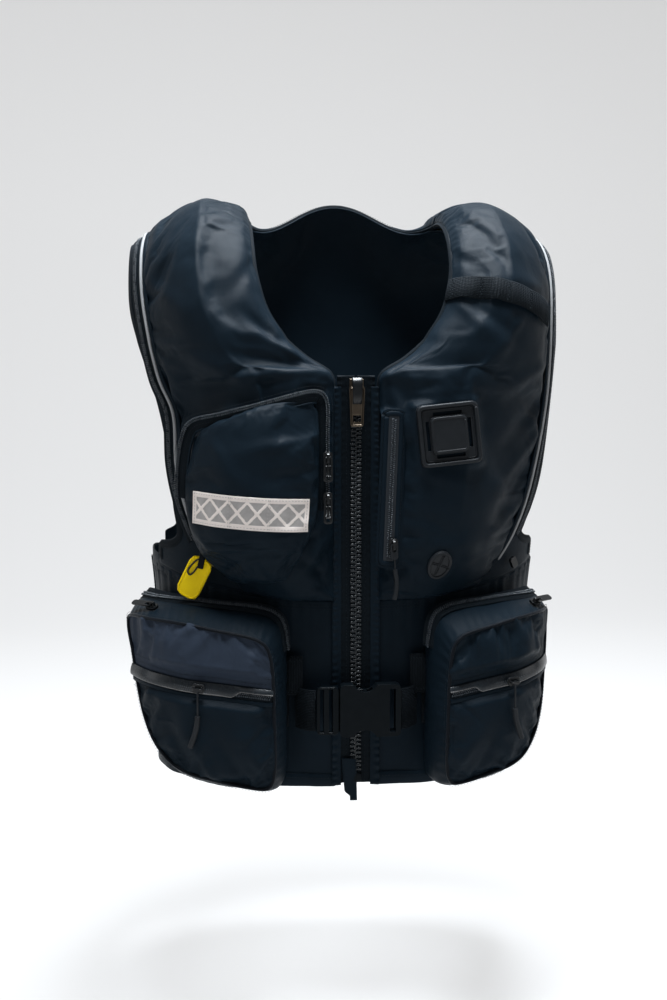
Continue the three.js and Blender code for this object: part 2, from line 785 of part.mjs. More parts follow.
const loopPath = [[-38.9, belt.y], [-46, belt.y + 3], [-51, belt.y + 9], [-55.5, belt.y + 15]];
const loopStations = beltNose(loopPath);
add('belt_loop', ribbon(loopStations, belt.width, -belt.thickness / 2, belt.thickness / 2), blackWebbing);

const buckle = {
  height: 48, halfThickness: 6, mouth: -17, end: 39, cavityEnd: 22, cavityHalf: 19.8,
  cavityHalfDepth: 3.9, scallopX: 6, scallopRadius: 12, scallopDepth: 6.5,
};

function buckleFemale() {
  const b = buckle;
  const length = b.end - b.mouth;
  const outline = roundedRect(length, b.height, 4, (b.end + b.mouth) / 2, 0);
  const scallop = (sign) => moved(
    new THREE.CylinderGeometry(b.scallopRadius, b.scallopRadius, 4 * b.halfThickness, 20),
    b.scallopX, 0, sign * (b.height / 2 + b.scallopRadius - b.scallopDepth),
  );
  const cavity = box(
    b.cavityEnd - b.mouth + 2, 2 * b.cavityHalfDepth, 2 * b.cavityHalf,
    (b.cavityEnd + b.mouth) / 2 - 1, 0, 0,
  );
  const slot = box(5.4, 4 * b.halfThickness, belt.width + 1.6, 31.2, 0, 0);
  return cut(plate(outline, 2 * b.halfThickness, b.halfThickness), scallop(1), scallop(-1), cavity, slot);
}

function buckleMale() {
  const half = 3.4;
  const frame = plate(roundedRect(20.6, 44, 4, -27.8, 0), 2 * half, half);
  const slot = (x) => box(3.4, 4 * half, belt.width + 1.4, x, 0, 0);
  const tongue = box(34, 5.4, 7, -2, 0, 0);
  return join(cut(frame, slot(-33.2), slot(-25)), tongue);
}

const prong = { root: -16.6, tip: 8, hinge: -17, z: 14 };

function prongGeometry(sign) {
  const shape = polygon([
    [prong.root, prong.z - 2.5], [3, prong.z - 1.5], [prong.tip, prong.z + 1],
    [prong.tip, prong.z + 4], [4, prong.z + 5.4], [-2, prong.z + 5.4], [-3.4, prong.z + 1.6],
    [prong.root, prong.z + 1.6],
  ].map(([x, z]) => [x - prong.hinge, sign * (z - prong.z)]));
  return plate(shape, 5.4, 2.7);
}

const buckleFrame = {
  position: new THREE.Vector3(0, belt.y, belt.z),
  quaternion: new THREE.Quaternion(),
};
add('buckle_female', buckleFemale(), blackPlastic, buckleFrame);
add('buckle_male', buckleMale(), blackPlastic, buckleFrame);
add('prong_upper', prongGeometry(1), blackPlastic, offsetFrame(buckleFrame, prong.hinge, 0, prong.z));
add('prong_lower', prongGeometry(-1), blackPlastic, offsetFrame(buckleFrame, prong.hinge, 0, -prong.z));

// ---------------------------------------------------------------- chest pocket on the right cover

const chestPocket = {
  outerX: track([[0, 134], [0.5, 139], [0.8, 128], [1, 106]]),
  innerX: track([[0, 35], [0.55, 35], [0.8, 46], [1, 64]]),
  topZ: [-186, -163],
  bottomZ: -327,
  depth: 15,
  clearance: 2.6,
};

function rightCoverHeight(x, z) {
  const down = downAt(x, z);
  const share = THREE.MathUtils.clamp(lobeShare(sides[0], x, down), 0.04, 0.96);
  return coverHeight(down, share);
}

function chestPocketPlace(t, j) {
  const pocket = chestPocket;
  const top = pocket.topZ[0] + j * (pocket.topZ[1] - pocket.topZ[0]);
  const z = top + t * (pocket.bottomZ - top);
  const outer = pocket.outerX(t);
  return [-(outer + j * (pocket.innerX(t) - outer)), z];
}

function chestPocketBody() {
  const pocket = chestPocket;
  const back = (t, j) => {
    const [x, z] = chestPocketPlace(t, j);
    return frontPoint(x, z, rightCoverHeight(x, z) + pocket.clearance);
  };
  const front = (t, j) => {
    const [x, z] = chestPocketPlace(t, j);
    const across = Math.max(0.02, 4 * j * (1 - j)) ** 0.3;
    const along = Math.max(0.02, 4 * t * (1 - t)) ** 0.3;
    const swell = pocket.depth * across * along;
    return frontPoint(x, z, rightCoverHeight(x, z) + pocket.clearance + 3 + swell);
  };
  return slab(7, 7, back, front);
}
add('chest_pocket', chestPocketBody(), navyFabric);

// The zip runs round the pocket's edge, open at the bottom: up the outer side, over the top
// and down the inner side, where it is straight for its two sliders.
const chestZip = { width: 4, thickness: 2.2, straightX: -27.5, straightZ: -215 };
const chestZipPlaces = [
  [-146, -250], [-144.5, -222], [-141, -196], [-134, -181.5], [-112, -175.5], [-85, -168],
  [-58, -160], [-40, -156], [-31, -159], [chestZip.straightX, -170], [chestZip.straightX, -195],
  [chestZip.straightX, -225], [chestZip.straightX, -262],
];
const chestZipHeight = track([[-146, 10], [-141, 8.5], [-134, 6], [-100, 4.5], [-31, 4.2], [-27, 5]]);

function chestZipStations() {
  const places = chestZipPlaces.map(([x, z]) => [x, z, rightCoverHeight(x, z) + chestZipHeight(x)]);
  const straight = rightCoverHeight(chestZip.straightX, chestZip.straightZ);
  const levelled = places.map(([x, z, height]) => (
    x === chestZip.straightX ? [x, z, straight + chestZipHeight(x)] : [x, z, height]
  ));
  const curve = new THREE.CatmullRomCurve3(levelled.map(([x, z, height]) => frontPoint(x, z, height)));
  return steps(30).map((t) => {
    const point = curve.getPoint(t);
    const forward = curve.getTangent(t);
    const up = outward(point.x * 0.9, downAt(point.x, point.z));
    const across = forward.clone().cross(up).normalize();
    return { point, across, up: across.clone().cross(forward).normalize() };
  });
}
const chestStations = chestZipStations();
add('chest_zip', ribbon(chestStations, chestZip.width, 0, chestZip.thickness), blackFabric);

function chestSliderFrame(z) {
  const { straightX, straightZ } = chestZip;
  const down = downAt(straightX, straightZ);
  const height = rightCoverHeight(straightX, straightZ) + chestZipHeight(straightX);
  const lift = height + chestZip.thickness + 0.5 + sliderSize.axis + sliderSize.thickness;
  const place = sheetPoint(straightX, down, lift);
  return facing(new THREE.Vector3(place.x, place.y, z), FRONT);
}
for (const [name, z, length] of [['upper', -215, 22], ['lower', -251, 20]]) {
  const frame = chestSliderFrame(z);
  addSlider(`chest_slider_${name}`, frame);
  add(`chest_puller_${name}`, pullerGeometry(1, length), paintedMetal, frame);
}

const strip = { width: 104, height: 29, thickness: 0.8, x: -103, z: -261, spin: -3.5 };
function stripFrame() {
  const height = rightCoverHeight(strip.x, strip.z) + chestPocket.clearance + 3 + chestPocket.depth;
  const down = downAt(strip.x * 0.86, strip.z);
  return facing(sheetPoint(strip.x * 0.86, down, height + 2.6), outward(strip.x * 0.8, down), strip.spin);
}
add(
  'reflective_strip',
  plate(roundedRect(strip.width, strip.height, 1.5), strip.thickness), reflectiveWhite, stripFrame(),
);

// ---------------------------------------------------------------- trim on the left cover

function leftCoverHeight(x, z) {
  const down = downAt(x, z);
  const share = THREE.MathUtils.clamp(lobeShare(sides[1], x, down), 0.04, 0.96);
  return coverHeight(down, share);
}

// The highest the left cover stands above a plane at its middle, within a half size.
function leftTrimFrame(x, z, halfSize, spin, clear) {
  const middle = frontPoint(x, z, leftCoverHeight(x, z));
  const corner = (dx, dz) => frontPoint(x + dx, z + dz, leftCoverHeight(x + dx, z + dz));
  const right = corner(halfSize, 0).sub(corner(-halfSize, 0));
  const up = corner(0, halfSize).sub(corner(0, -halfSize));
  const out = right.clone().cross(up).normalize();
  if (out.y > 0) out.negate();
  const lift = Math.max(...[-1, -0.5, 0, 0.5, 1].flatMap((i) => [-1, 0, 1].map((k) => (
    corner(i * halfSize, k * halfSize).sub(middle).dot(out)
  ))));
  return facing(middle.addScaledVector(out, lift + clear), out, spin);
}

const phoneZip = { x: 29.5, middleZ: -243, length: 132, width: 12, thickness: 2, spin: 2.2 };
const phoneFrame = leftTrimFrame(phoneZip.x, phoneZip.middleZ, 6, phoneZip.spin, 3.4);
phoneFrame.quaternion.copy(facing(phoneFrame.position, FRONT, phoneZip.spin).quaternion);
add(
  'phone_zip', plate(roundedRect(phoneZip.width, phoneZip.length, 1), phoneZip.thickness),
  blackFabric, phoneFrame,
);
const phoneSeat = -(phoneZip.thickness + 0.4 + sliderSize.axis + sliderSize.thickness);
const phoneSliderFrame = offsetFrame(phoneFrame, 0, phoneSeat, -50);
addSlider('phone_slider', phoneSliderFrame);
add('phone_pull', ringPullGeometry(), blackRubber, phoneSliderFrame);

const lash = { size: 55, thickness: 3, pad: 33, padThickness: 3.4, x: 74, z: -194, spin: 6 };
function lashTab() {
  const base = plate(roundedRect(lash.size, lash.size, 4), lash.thickness);
  const rimRing = roundedRect(lash.size, lash.size, 4);
  rimRing.holes.push(roundedRect(lash.size - 7, lash.size - 7, 2));
  const rimPlate = plate(rimRing, 1.4, -lash.thickness + 0.1);
  const pad = plate(roundedRect(lash.pad, lash.pad, 3), lash.padThickness, -lash.thickness + 0.1);
  const slotPair = (across) => [1, -1].map((sign) => box(
    across ? 3.2 : 26, 12, across ? 26 : 3.2,
    across ? sign * (lash.pad / 2 + 2.4) : 0, 0, across ? 0 : sign * (lash.pad / 2 + 2.4),
  ));
  return cut(join(base, rimPlate, pad), ...slotPair(true), ...slotPair(false));
}
const lashFrame = leftTrimFrame(lash.x, lash.z, lash.size / 2, lash.spin, 0.9);
add('lash_tab', lashTab(), blackRubber, lashFrame);

const port = { x: 68, z: -311, halfWidth: 10.5, halfHeight: 14, thickness: 2.2, spin: -15 };
function cablePort() {
  const oval = new THREE.Shape();
  oval.absellipse(0, 0, port.halfWidth, port.halfHeight, 0, 2 * Math.PI);
  const geometry = new THREE.ExtrudeGeometry(oval, {
    depth: port.thickness, bevelEnabled: false, curveSegments: 18,
  });
  return geometry.rotateX(Math.PI / 2);
}
add('cable_port', cablePort(), blackRubber, leftTrimFrame(port.x, port.z, port.halfHeight, port.spin, 0.9));

const daisyPlaces = [
  [86, -66], [92, -64], [102, -63.5], [116, -64], [130, -66], [144, -69.5], [158, -74], [171, -80],
  [181, -86],
].map(([x, z]) => [x, downAt(x, z)]);
function daisyWebbing() {
  const stations = daisyPlaces.map(([x, down]) => {
    const share = THREE.MathUtils.clamp(lobeShare(sides[1], x, down), 0.02, 0.98);
    return sheetStations([[x - 1, down], [x, down], [x + 1, down]], coverHeight(down, share) + 2.2)[1];
  });
  const upright = stations.map((station, i) => {
    const ahead = stations[Math.min(stations.length - 1, i + 1)].point;
    const before = stations[Math.max(0, i - 1)].point;
    const forward = ahead.clone().sub(before).normalize();
    const across = forward.clone().cross(station.up).normalize();
    return { point: station.point, across, up: across.clone().cross(forward).normalize() };
  });
  return ribbon(upright, 21, 0, 2.2);
}
add('shoulder_webbing', daisyWebbing(), blackWebbing);

// ---------------------------------------------------------------- inflation parts

const cylinder = { radius: 14, length: 112, x: -101, z: -284, height: 16.4 };
function cylinderGeometry() {
  const { radius, length } = cylinder;
  const outline = [
    [0, 0], [6, 0], [6, 12], [7.5, 14], [radius, 26], [radius, length - 8], [radius - 5, length],
    [0, length],
  ].map(([r, along]) => new THREE.Vector2(r, along));
  return new THREE.LatheGeometry(outline, 16).rotateX(Math.PI / 2);
}
const cylinderFoot = frontPoint(cylinder.x, cylinder.z, cylinder.height);
const inflatorFrame = {
  position: new THREE.Vector3(cylinderFoot.x, cylinderFoot.y, cylinder.z),
  quaternion: new THREE.Quaternion(),
};
add('co2_cylinder', cylinderGeometry(), cylinderSteel, inflatorFrame);

const inflator = { width: 24, depth: 17, height: 22, socket: 6.4 };
function inflatorBody() {
  const { width, depth, height, socket } = inflator;
  const block = plate(roundedRect(width, height, 3, 0, -height / 2 + 6), depth, depth / 2);
  const bore = moved(new THREE.CylinderGeometry(socket, socket, 20, 16).rotateX(Math.PI / 2), 0, 0, 9.7);
  const leverSlot = box(4.6, depth + 2, 17, 7.5, 0, -11);
  return cut(block, bore, leverSlot);
}
add('inflator_body', inflatorBody(), blackPlastic, inflatorFrame);
const leverFrame = offsetFrame(inflatorFrame, 7.5, 0, -9);
add('inflator_lever', plate(polygon([
  [-1.8, -1.9], [1.8, -1.9], [1.8, 1.9], [-1.8, 1.9],
]), 11.4, 0.4), yellowPlastic, leverFrame);

const yellowTab = { width: 22, length: 40, thickness: 2.4, x: -130, z: -311, height: 25, spin: 27 };
const tabDown = downAt(yellowTab.x, yellowTab.z);
const tabFrame = facing(
  sheetPoint(yellowTab.x, tabDown, yellowTab.height), outward(yellowTab.x * 0.8, tabDown), -yellowTab.spin,
);
function yellowTabGeometry() {
  const { width, length, thickness } = yellowTab;
  const shape = roundedRect(width, length, 7, 0, -length / 2 + 6);
  shape.holes.push(roundedRect(5, 4, 1.5, 0, 0));
  return plate(shape, thickness, thickness / 2);
}
add('pull_tab', yellowTabGeometry(), yellowPlastic, tabFrame);

const oral = { x: 92, z: -296, height: 27.6, radius: 5, length: 74 };
const oralFoot = frontPoint(oral.x, oral.z, oral.height);
const oralFrame = {
  position: new THREE.Vector3(oralFoot.x, oralFoot.y, oral.z),
  quaternion: new THREE.Quaternion(),
};
const cap = { wall: 1.4, length: 12, clear: 0.4 };
function uprightRod(radius, length, z) {
  return moved(new THREE.CylinderGeometry(radius, radius, length, 12).rotateX(Math.PI / 2), 0, 0, z);
}
add('oral_tube', uprightRod(oral.radius, oral.length, oral.length / 2), blackRubber, oralFrame);
add(
  'oral_cap',
  cut(
    uprightRod(oral.radius + cap.clear + cap.wall, cap.length, 0),
    uprightRod(oral.radius + cap.clear, cap.length, -cap.wall),
  ),
  yellowPlastic,
  offsetFrame(oralFrame, 0, 0, oral.length - cap.length / 2 + cap.wall + cap.clear),
);

// ---------------------------------------------------------------- lower pockets

const pocket = {
  backX: [59, 90, 120, 145, 165, 178],
  backHeight: 6.4,
  faceInner: [79, -180],
  faceOuter: [150, -166],
  shoulderPoint: [186, -137],
  sidePoint: [203, -98],
  reach: { right: 209.6, left: 187 },
  levels: [
    { z: -349.5, depth: 0.36, trim: 0 },
    { z: -368, depth: 1, trim: 0 },
    { z: -455, depth: 1, trim: 0 },
    { z: -487, depth: 0.98, trim: 0.32 },
    { z: -508, depth: 0.9, trim: 0.72 },
    { z: -518, depth: 0.7, trim: 1 },
  ],
  trimReach: 70,
};

// A distance from the middle, stretched so that the pocket's side point is at its side's reach.
function pocketX(side, x) {
  const [inner] = pocket.faceInner;
  const stretch = (pocket.reach[side.name] - inner) / (pocket.sidePoint[0] - inner);
  return x <= inner ? x : inner + (x - inner) * stretch;
}

// The pocket's outline in plan at one level: back points first, then the front ones.
function pocketRing(side, level) {
  const trimmed = 1 - (pocket.trimReach * level.trim ** 2) / pocket.sidePoint[0];
  const squeeze = (x) => (x <= pocket.faceInner[0] ? x : pocketX(side, x) * trimmed);
  const back = pocket.backX.map((x) => frontPoint(squeeze(x), -430, pocket.backHeight));
  const front = [pocket.sidePoint, pocket.shoulderPoint, pocket.faceOuter, pocket.faceInner]
    .map(([x, y]) => new THREE.Vector3(squeeze(x), y, 0));
  const near = [back[5], back[4], back[3], back[0]];
  const settled = front.map((point, i) => {
    const anchor = near[i];
    return new THREE.Vector3(
      i === 0 ? point.x : anchor.x + (point.x - anchor.x) * (0.5 + level.depth / 2),
      anchor.y + Math.min(-1, point.y - anchor.y) * level.depth,
      0,
    );
  });
  return [...back, ...settled].map((point) => new THREE.Vector3(side.sign * point.x, point.y, level.z));
}

function loft(sections) {
  const plan = (ring) => ring.map((point) => new THREE.Vector2(point.x, point.y));
  const clockwise = THREE.ShapeUtils.area(plan(sections[0])) < 0;
  const rings = clockwise ? sections.map((ring) => ring.slice().reverse()) : sections;
  const count = rings[0].length;
  const points = rings.flat().flatMap((point) => point.toArray());
  const index = [];
  for (let k = 0; k + 1 < rings.length; k += 1) {
    for (let i = 0; i < count; i += 1) {
      const next = (i + 1) % count;
      const [a, b] = [k * count + i, k * count + next];
      index.push(a, b, b + count, a, b + count, a + count);
    }
  }
  const end = (rings.length - 1) * count;
  for (const [a, b, c] of THREE.ShapeUtils.triangulateShape(plan(rings[0]), [])) index.push(c, b, a);
  for (const [a, b, c] of THREE.ShapeUtils.triangulateShape(plan(rings[rings.length - 1]), [])) {
    index.push(end + a, end + b, end + c);
  }
  const geometry = new THREE.BufferGeometry();
  geometry.setAttribute('position', new THREE.BufferAttribute(new Float32Array(points), 3));
  geometry.setIndex(index);
  return geometry;
}

const pocketZip = { low: -424, clear: 4, width: 7, thickness: 2.2 };
const weltZip = { middle: [114, -176.6, -418], length: 84, width: 15, thickness: 1.6, lean: -5 };
const pocketFaceTurn = Math.atan2(
  pocket.faceOuter[1] - pocket.faceInner[1], pocket.faceOuter[0] - pocket.faceInner[0],
);

// The zip runs over the pocket's sloping top, from its outer end, and down the inner side.
function pocketZipStations(side) {
  const top = pocketRing(side, pocket.levels[0]);
  const full = pocketRing(side, pocket.levels[1]);
  const backCount = pocket.backX.length;
  const overTop = [0, 1, 2, 3].map((i) => {
    const [high, low] = [top[backCount + i], full[backCount + i]];
    return { point: high.clone().lerp(low, 0.5), slope: low.clone().sub(high) };
  });
  const innerBack = full[0].clone();
  const innerFront = full[backCount + 3].clone();
  const across = innerFront.clone().sub(innerBack);
  const down = [pocket.levels[1].z - 4, pocketZip.low].map((z) => {
    const point = innerBack.clone().lerp(innerFront, 0.5);
    point.z = z;
    return { point, slope: across };
  });
  const run = [...overTop, ...down];
  const heart = new THREE.Vector3(side.sign * 120, -110, -430);
  return run.map(({ point, slope }, i) => {
    const forward = run[Math.min(run.length - 1, i + 1)].point.clone()
      .sub(run[Math.max(0, i - 1)].point).normalize();
    const up = slope.clone().cross(forward).normalize();
    if (up.dot(point.clone().sub(heart)) < 0) up.negate();
    const side = forward.clone().cross(up).normalize();
    return { point, across: side, up };
  });
}

for (const side of sides) {
  const { name, sign } = side;
  add(`lower_pocket_${name}`, loft(pocket.levels.map((level) => pocketRing(side, level))), navyFabric);

  const stations = pocketZipStations(side);
  const zipTop = pocketZip.clear + pocketZip.thickness;
  add(`pocket_zip_${name}`, ribbon(stations, pocketZip.width, pocketZip.clear, zipTop), blackFabric);
  const [, first, second] = stations;
  const zipAlong = second.point.clone().sub(first.point).normalize();
  const out = first.up.clone().add(second.up).normalize();
  out.addScaledVector(zipAlong, -out.dot(zipAlong)).normalize();
  const seat = first.point.clone().lerp(second.point, 0.16)
    .addScaledVector(out, zipTop + 1 + sliderSize.axis + sliderSize.thickness);
  const upAxis = zipAlong.clone();
  const turn = new THREE.Matrix4().makeBasis(
    out.clone().negate().cross(upAxis), out.clone().negate(), upAxis,
  );
  const frame = { position: seat, quaternion: new THREE.Quaternion().setFromRotationMatrix(turn) };
  addSlider(`pocket_slider_${name}`, frame);
  add(`pocket_puller_${name}`, pullerGeometry(1, 22), paintedMetal, frame);

  const faceOut = new THREE.Vector3(sign * Math.sin(pocketFaceTurn), -Math.cos(pocketFaceTurn), 0);
  const [mx, my, mz] = weltZip.middle;
  const weltFrame = facing(
    new THREE.Vector3(sign * pocketX(side, mx), my, mz).addScaledVector(faceOut, 1),
    faceOut, sign * -weltZip.lean,
  );
  add(
    `welt_zip_${name}`,
    plate(roundedRect(weltZip.length, weltZip.width, 1), weltZip.thickness), blackFabric, weltFrame,
  );
  const lift = -(weltZip.thickness + 0.5 + sliderSize.axis + sliderSize.thickness);
  const seatFrame = offsetFrame(weltFrame, sign * 28, lift, 0);
  const across = new THREE.Quaternion().setFromAxisAngle(faceOut, Math.PI / 2);
  addSlider(`welt_slider_${name}`, {
    position: seatFrame.position, quaternion: across.clone().multiply(seatFrame.quaternion),
  });
  add(`welt_pull_${name}`, cordPullGeometry(24, 28, -sign * -7), blackRubber, {
    position: seatFrame.position, quaternion: facing(seatFrame.position, faceOut).quaternion,
  });
}

export default jacket;
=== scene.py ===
"""The looks of the inflatable life jacket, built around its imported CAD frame.

Metres, +Z up, the front faces -Y and the wearer's right is -X. The soft layers repeat the
CAD part's base sheet: a place on it is (x, down), where down is 0 along the top of the
shoulders, 1 at the upper chest, more below it, and negative at the back.
"""
import math

import bmesh
import bpy
import numpy as np
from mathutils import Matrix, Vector, noise
from mathutils.bvhtree import BVHTree


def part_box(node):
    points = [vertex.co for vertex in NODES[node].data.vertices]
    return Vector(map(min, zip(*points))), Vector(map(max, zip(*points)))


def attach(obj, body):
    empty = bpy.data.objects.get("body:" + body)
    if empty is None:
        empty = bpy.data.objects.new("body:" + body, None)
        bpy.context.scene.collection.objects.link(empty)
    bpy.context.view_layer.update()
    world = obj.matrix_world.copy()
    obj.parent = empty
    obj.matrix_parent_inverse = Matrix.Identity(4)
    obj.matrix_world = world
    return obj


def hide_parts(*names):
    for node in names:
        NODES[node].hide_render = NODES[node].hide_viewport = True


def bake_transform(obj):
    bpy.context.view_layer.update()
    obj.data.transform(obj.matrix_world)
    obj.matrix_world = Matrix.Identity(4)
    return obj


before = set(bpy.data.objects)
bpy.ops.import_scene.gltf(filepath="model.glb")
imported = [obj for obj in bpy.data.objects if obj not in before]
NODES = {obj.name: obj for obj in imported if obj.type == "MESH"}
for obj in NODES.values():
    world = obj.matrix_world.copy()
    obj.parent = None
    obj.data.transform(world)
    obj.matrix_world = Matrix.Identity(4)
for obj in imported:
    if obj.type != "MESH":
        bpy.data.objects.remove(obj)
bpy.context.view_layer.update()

MM = 0.001
SIDES = {"right": -1, "left": 1}
FRONT = np.array([0.0, -1.0, 0.0])
UP = np.array([0.0, 0.0, 1.0])

# ------------------------------------------------------------ the base sheet, as in the CAD part

FRONT_DEPTH = 130 * MM
EXPONENT = 2.5
HALF_WIDTHS = [(-522, 186), (-430, 186), (-345, 188), (-250, 200), (-110, 215)]
BACK_DEPTHS = [(-522, 99), (-430, 98), (-345, 94), (-250, 100), (-110, 108)]
SHOULDER_HEIGHT, SHOULDER_DROP, NAPE_RISE = 8 * MM, 22 * MM, 62 * MM
SHOULDER_HALF, ROUNDNESS = 205 * MM, 2.3
NECK_HALF, NECK_BACK = 93 * MM, 70 * MM
CHEST, RUN, WAIST, HEM, SIDE_RISE = -110 * MM, 200 * MM, -347 * MM, -522 * MM, 28 * MM
LOBE_HEIGHTS = [(0, 26), (0.6, 29), (1, 32), (1.45, 35), (1.9, 33), (2.05, 24), (2.19, 8)]
LOBE_EDGE, LOBE_FULLNESS, LOBE_START, SKIN = 1 * MM, 0.4, 0.002, 1.5 * MM

# Edges of the panels as (x, z) in mm on the front, and (x, down) on the back.
INNER_EDGE = [(93, 8), (90, -40), (84, -70), (76, -90), (62, -111), (42, -128), (24, -139), (20, -150),
              (20, -347)]
OUTER_EDGE = {
    "right": [(186, -4), (189, -32), (186, -80), (173, -144), (160, -175), (157, -229), (141, -293),
              (121, -329), (98, -347)],
    "left": [(184, -3), (190, -36), (188, -97), (185, -165), (169, -241), (148, -303), (120, -341),
             (112, -347)],
}
ARM_EDGE = {
    "right": [(205, -14), (208, -57), (204, -91), (180, -167), (170, -219), (166, -267), (163, -303),
              (170, -316), (182, -324)],
    "left": [(205, -14), (206, -57), (204, -155), (196, -221), (178, -273), (166, -303), (172, -316),
             (182, -324)],
}
BACK_ARM_EDGE = [(205, 0), (190, 0.4), (172, 0.9), (168, 1.4), (166, 1.9), (172, 2.02), (182, 2.06)]
COLLAR_HALF, COLLAR_DOWN, COLLAR_SQUARE = 186 * MM, 1.2, 0.7
BELT_LEVEL, BELT_WIDTH = -445, 38 * MM
BELT_TURN = [(46, -146), (51, -140), (55.5, -134)]


def track(pairs):
    """A smooth function through (at, value) pairs in rising order, level beyond both ends."""
    at, value = np.array(pairs, float).T
    before, after = np.maximum(np.arange(len(at)) - 1, 0), np.minimum(np.arange(len(at)) + 1, len(at) - 1)
    slope = (value[after] - value[before]) / (at[after] - at[before])

    def read(x):
        x = np.clip(np.asarray(x, float), at[0], at[-1])
        i = np.clip(np.searchsorted(at, x), 1, len(at) - 1)
        span = at[i] - at[i - 1]
        t = (x - at[i - 1]) / span
        bend = t * (1 - t) ** 2 * span * slope[i - 1] + t * t * (t - 1) * span * slope[i]
        return value[i - 1] + (value[i] - value[i - 1]) * t * t * (3 - 2 * t) + bend

    return read


half_width_at = track([(z * MM, w * MM) for z, w in HALF_WIDTHS])
back_depth_at = track([(z * MM, d * MM) for z, d in BACK_DEPTHS])
lobe_height_at = track([(down, height * MM) for down, height in LOBE_HEIGHTS])
back_arm_at = track([(down, x * MM) for x, down in BACK_ARM_EDGE])


def smooth(x, low, high):
    """0 up to low, 1 from high, and a soft step between them."""
    t = np.clip((np.asarray(x, float) - low) / (high - low), 0, 1)
    return t * t * (3 - 2 * t)


def crown_height(x):
    """The height of the shoulders' top above the upper chest at a column."""
    inner = np.minimum(1, np.abs(x) / NECK_HALF)
    outer = np.maximum(0, np.abs(x) - NECK_HALF) / (SHOULDER_HALF - NECK_HALF)
    nape = NAPE_RISE * np.cos(inner * math.pi / 2) ** 2
    return SHOULDER_HEIGHT - SHOULDER_DROP * outer ** 3 + nape - CHEST


def rim(x, half_width):
    """The plan's rounded rectangle: 1 at the middle, 0 at the sides."""
    share = np.minimum(1, np.abs(x) / half_width)
    return (1 - share ** EXPONENT) ** (1 / EXPONENT)


def base_point(x, down):
    """The base sheet's point at a column and a down value."""
    x, down = np.broadcast_arrays(np.asarray(x, float), np.asarray(down, float))
    level = np.abs(down)
    z = CHEST - np.maximum(0, level - 1) * RUN
    depth = np.where(down >= 0, -FRONT_DEPTH, back_depth_at(z))
    angle = np.clip(1 - level, 0, 1) * math.pi / 2
    rise = crown_height(x) * np.sin(angle) ** (2 / ROUNDNESS)
    y = depth * rim(x, half_width_at(z)) * np.cos(angle) ** (2 / ROUNDNESS)
    return np.stack([x, y, z + rise], -1)


def unit(v):
    """Vectors made one long."""
    return v / np.maximum(np.linalg.norm(v, axis=-1, keepdims=True), 1e-12)


def outward(x, down):
    """The base sheet's unit normals, away from the wearer."""
    along = base_point(x, down + 0.004) - base_point(x, down - 0.004)
    across = base_point(x + 0.5 * MM, down) - base_point(x - 0.5 * MM, down)
    return unit(np.cross(along, across))


def sheet_point(x, down, height):
    """A point standing off the base sheet."""
    return base_point(x, down) + outward(x, down) * np.asarray(height)[..., None]


def down_at(x, z):
    """The front's down value at a column and a height."""
    share = np.clip((z - CHEST) / crown_height(x), 0, 1)
    low = 1 + (CHEST - np.minimum(z, CHEST)) / RUN
    return np.where(z <= CHEST, low, 1 - np.arcsin(share ** (ROUNDNESS / 2)) * 2 / math.pi)


def edge_track(outline):
    """An edge's column as a function of down."""
    return track([(float(down_at(x * MM, z * MM)), x * MM) for x, z in outline])


inner_at = edge_track(INNER_EDGE)
outer_at = {side: edge_track(outline) for side, outline in OUTER_EDGE.items()}
arm_at = {side: edge_track(outline) for side, outline in ARM_EDGE.items()}
BOTTOM_DOWN = float(down_at(0.0, WAIST))


def waist_down(x):
    """The waist seam's down value at a column; the seam rises towards the sides."""
    share = np.minimum(1, np.abs(x) / half_width_at(WAIST))
    return down_at(x, WAIST + SIDE_RISE * share ** EXPONENT)


def plain_down(t):
    """The down value at a share of the way from the shoulder seam to the waist."""
    return LOBE_START + t * (BOTTOM_DOWN - LOBE_START)


def lobe_place(x, t):
    """t runs from the shoulder seam to the waist seam."""
    return x, plain_down(t) + (waist_down(x) - BOTTOM_DOWN) * smooth(t, 0.75, 1)


def lobe_column(side, t, share):
    """The column at a share of the way from the cover's inner edge to its outer edge."""
    inner = inner_at(plain_down(t))
    return SIDES[side] * (inner + share * (outer_at[side](plain_down(t)) - inner))


def cover_height(down, share):
    """The height of the CAD cover's top above the base sheet."""
    swell = np.maximum(0, 4 * share * (1 - share)) ** LOBE_FULLNESS
    return LOBE_EDGE + SKIN + lobe_height_at(np.abs(down)) * swell


def neck_down(x):
    """The neck opening's down value at the back."""
    reach = NECK_BACK * np.sqrt(np.maximum(0, 1 - (x / NECK_HALF) ** 2))
    depth = back_depth_at(CHEST) * rim(x, half_width_at(CHEST))
    angle = np.arccos(np.minimum(1, reach / depth) ** (ROUNDNESS / 2))
    return np.maximum(LOBE_START, 1 - angle * 2 / math.pi)


def collar_place(turn, share):
    """turn 0 is the right shoulder seam, 1 the left one; share 0 is the neck edge."""
    angle = turn * math.pi
    inner_x = -NECK_HALF * np.cos(angle)
    outer_x = -np.sign(np.cos(angle)) * np.abs(np.cos(angle)) ** COLLAR_SQUARE * COLLAR_HALF
    outer_down = np.maximum(LOBE_START, COLLAR_DOWN * np.abs(np.sin(angle)) ** COLLAR_SQUARE)
    inner_down = neck_down(inner_x)
    return inner_x + share * (outer_x - inner_x), -(inner_down + share * (outer_down - inner_down))


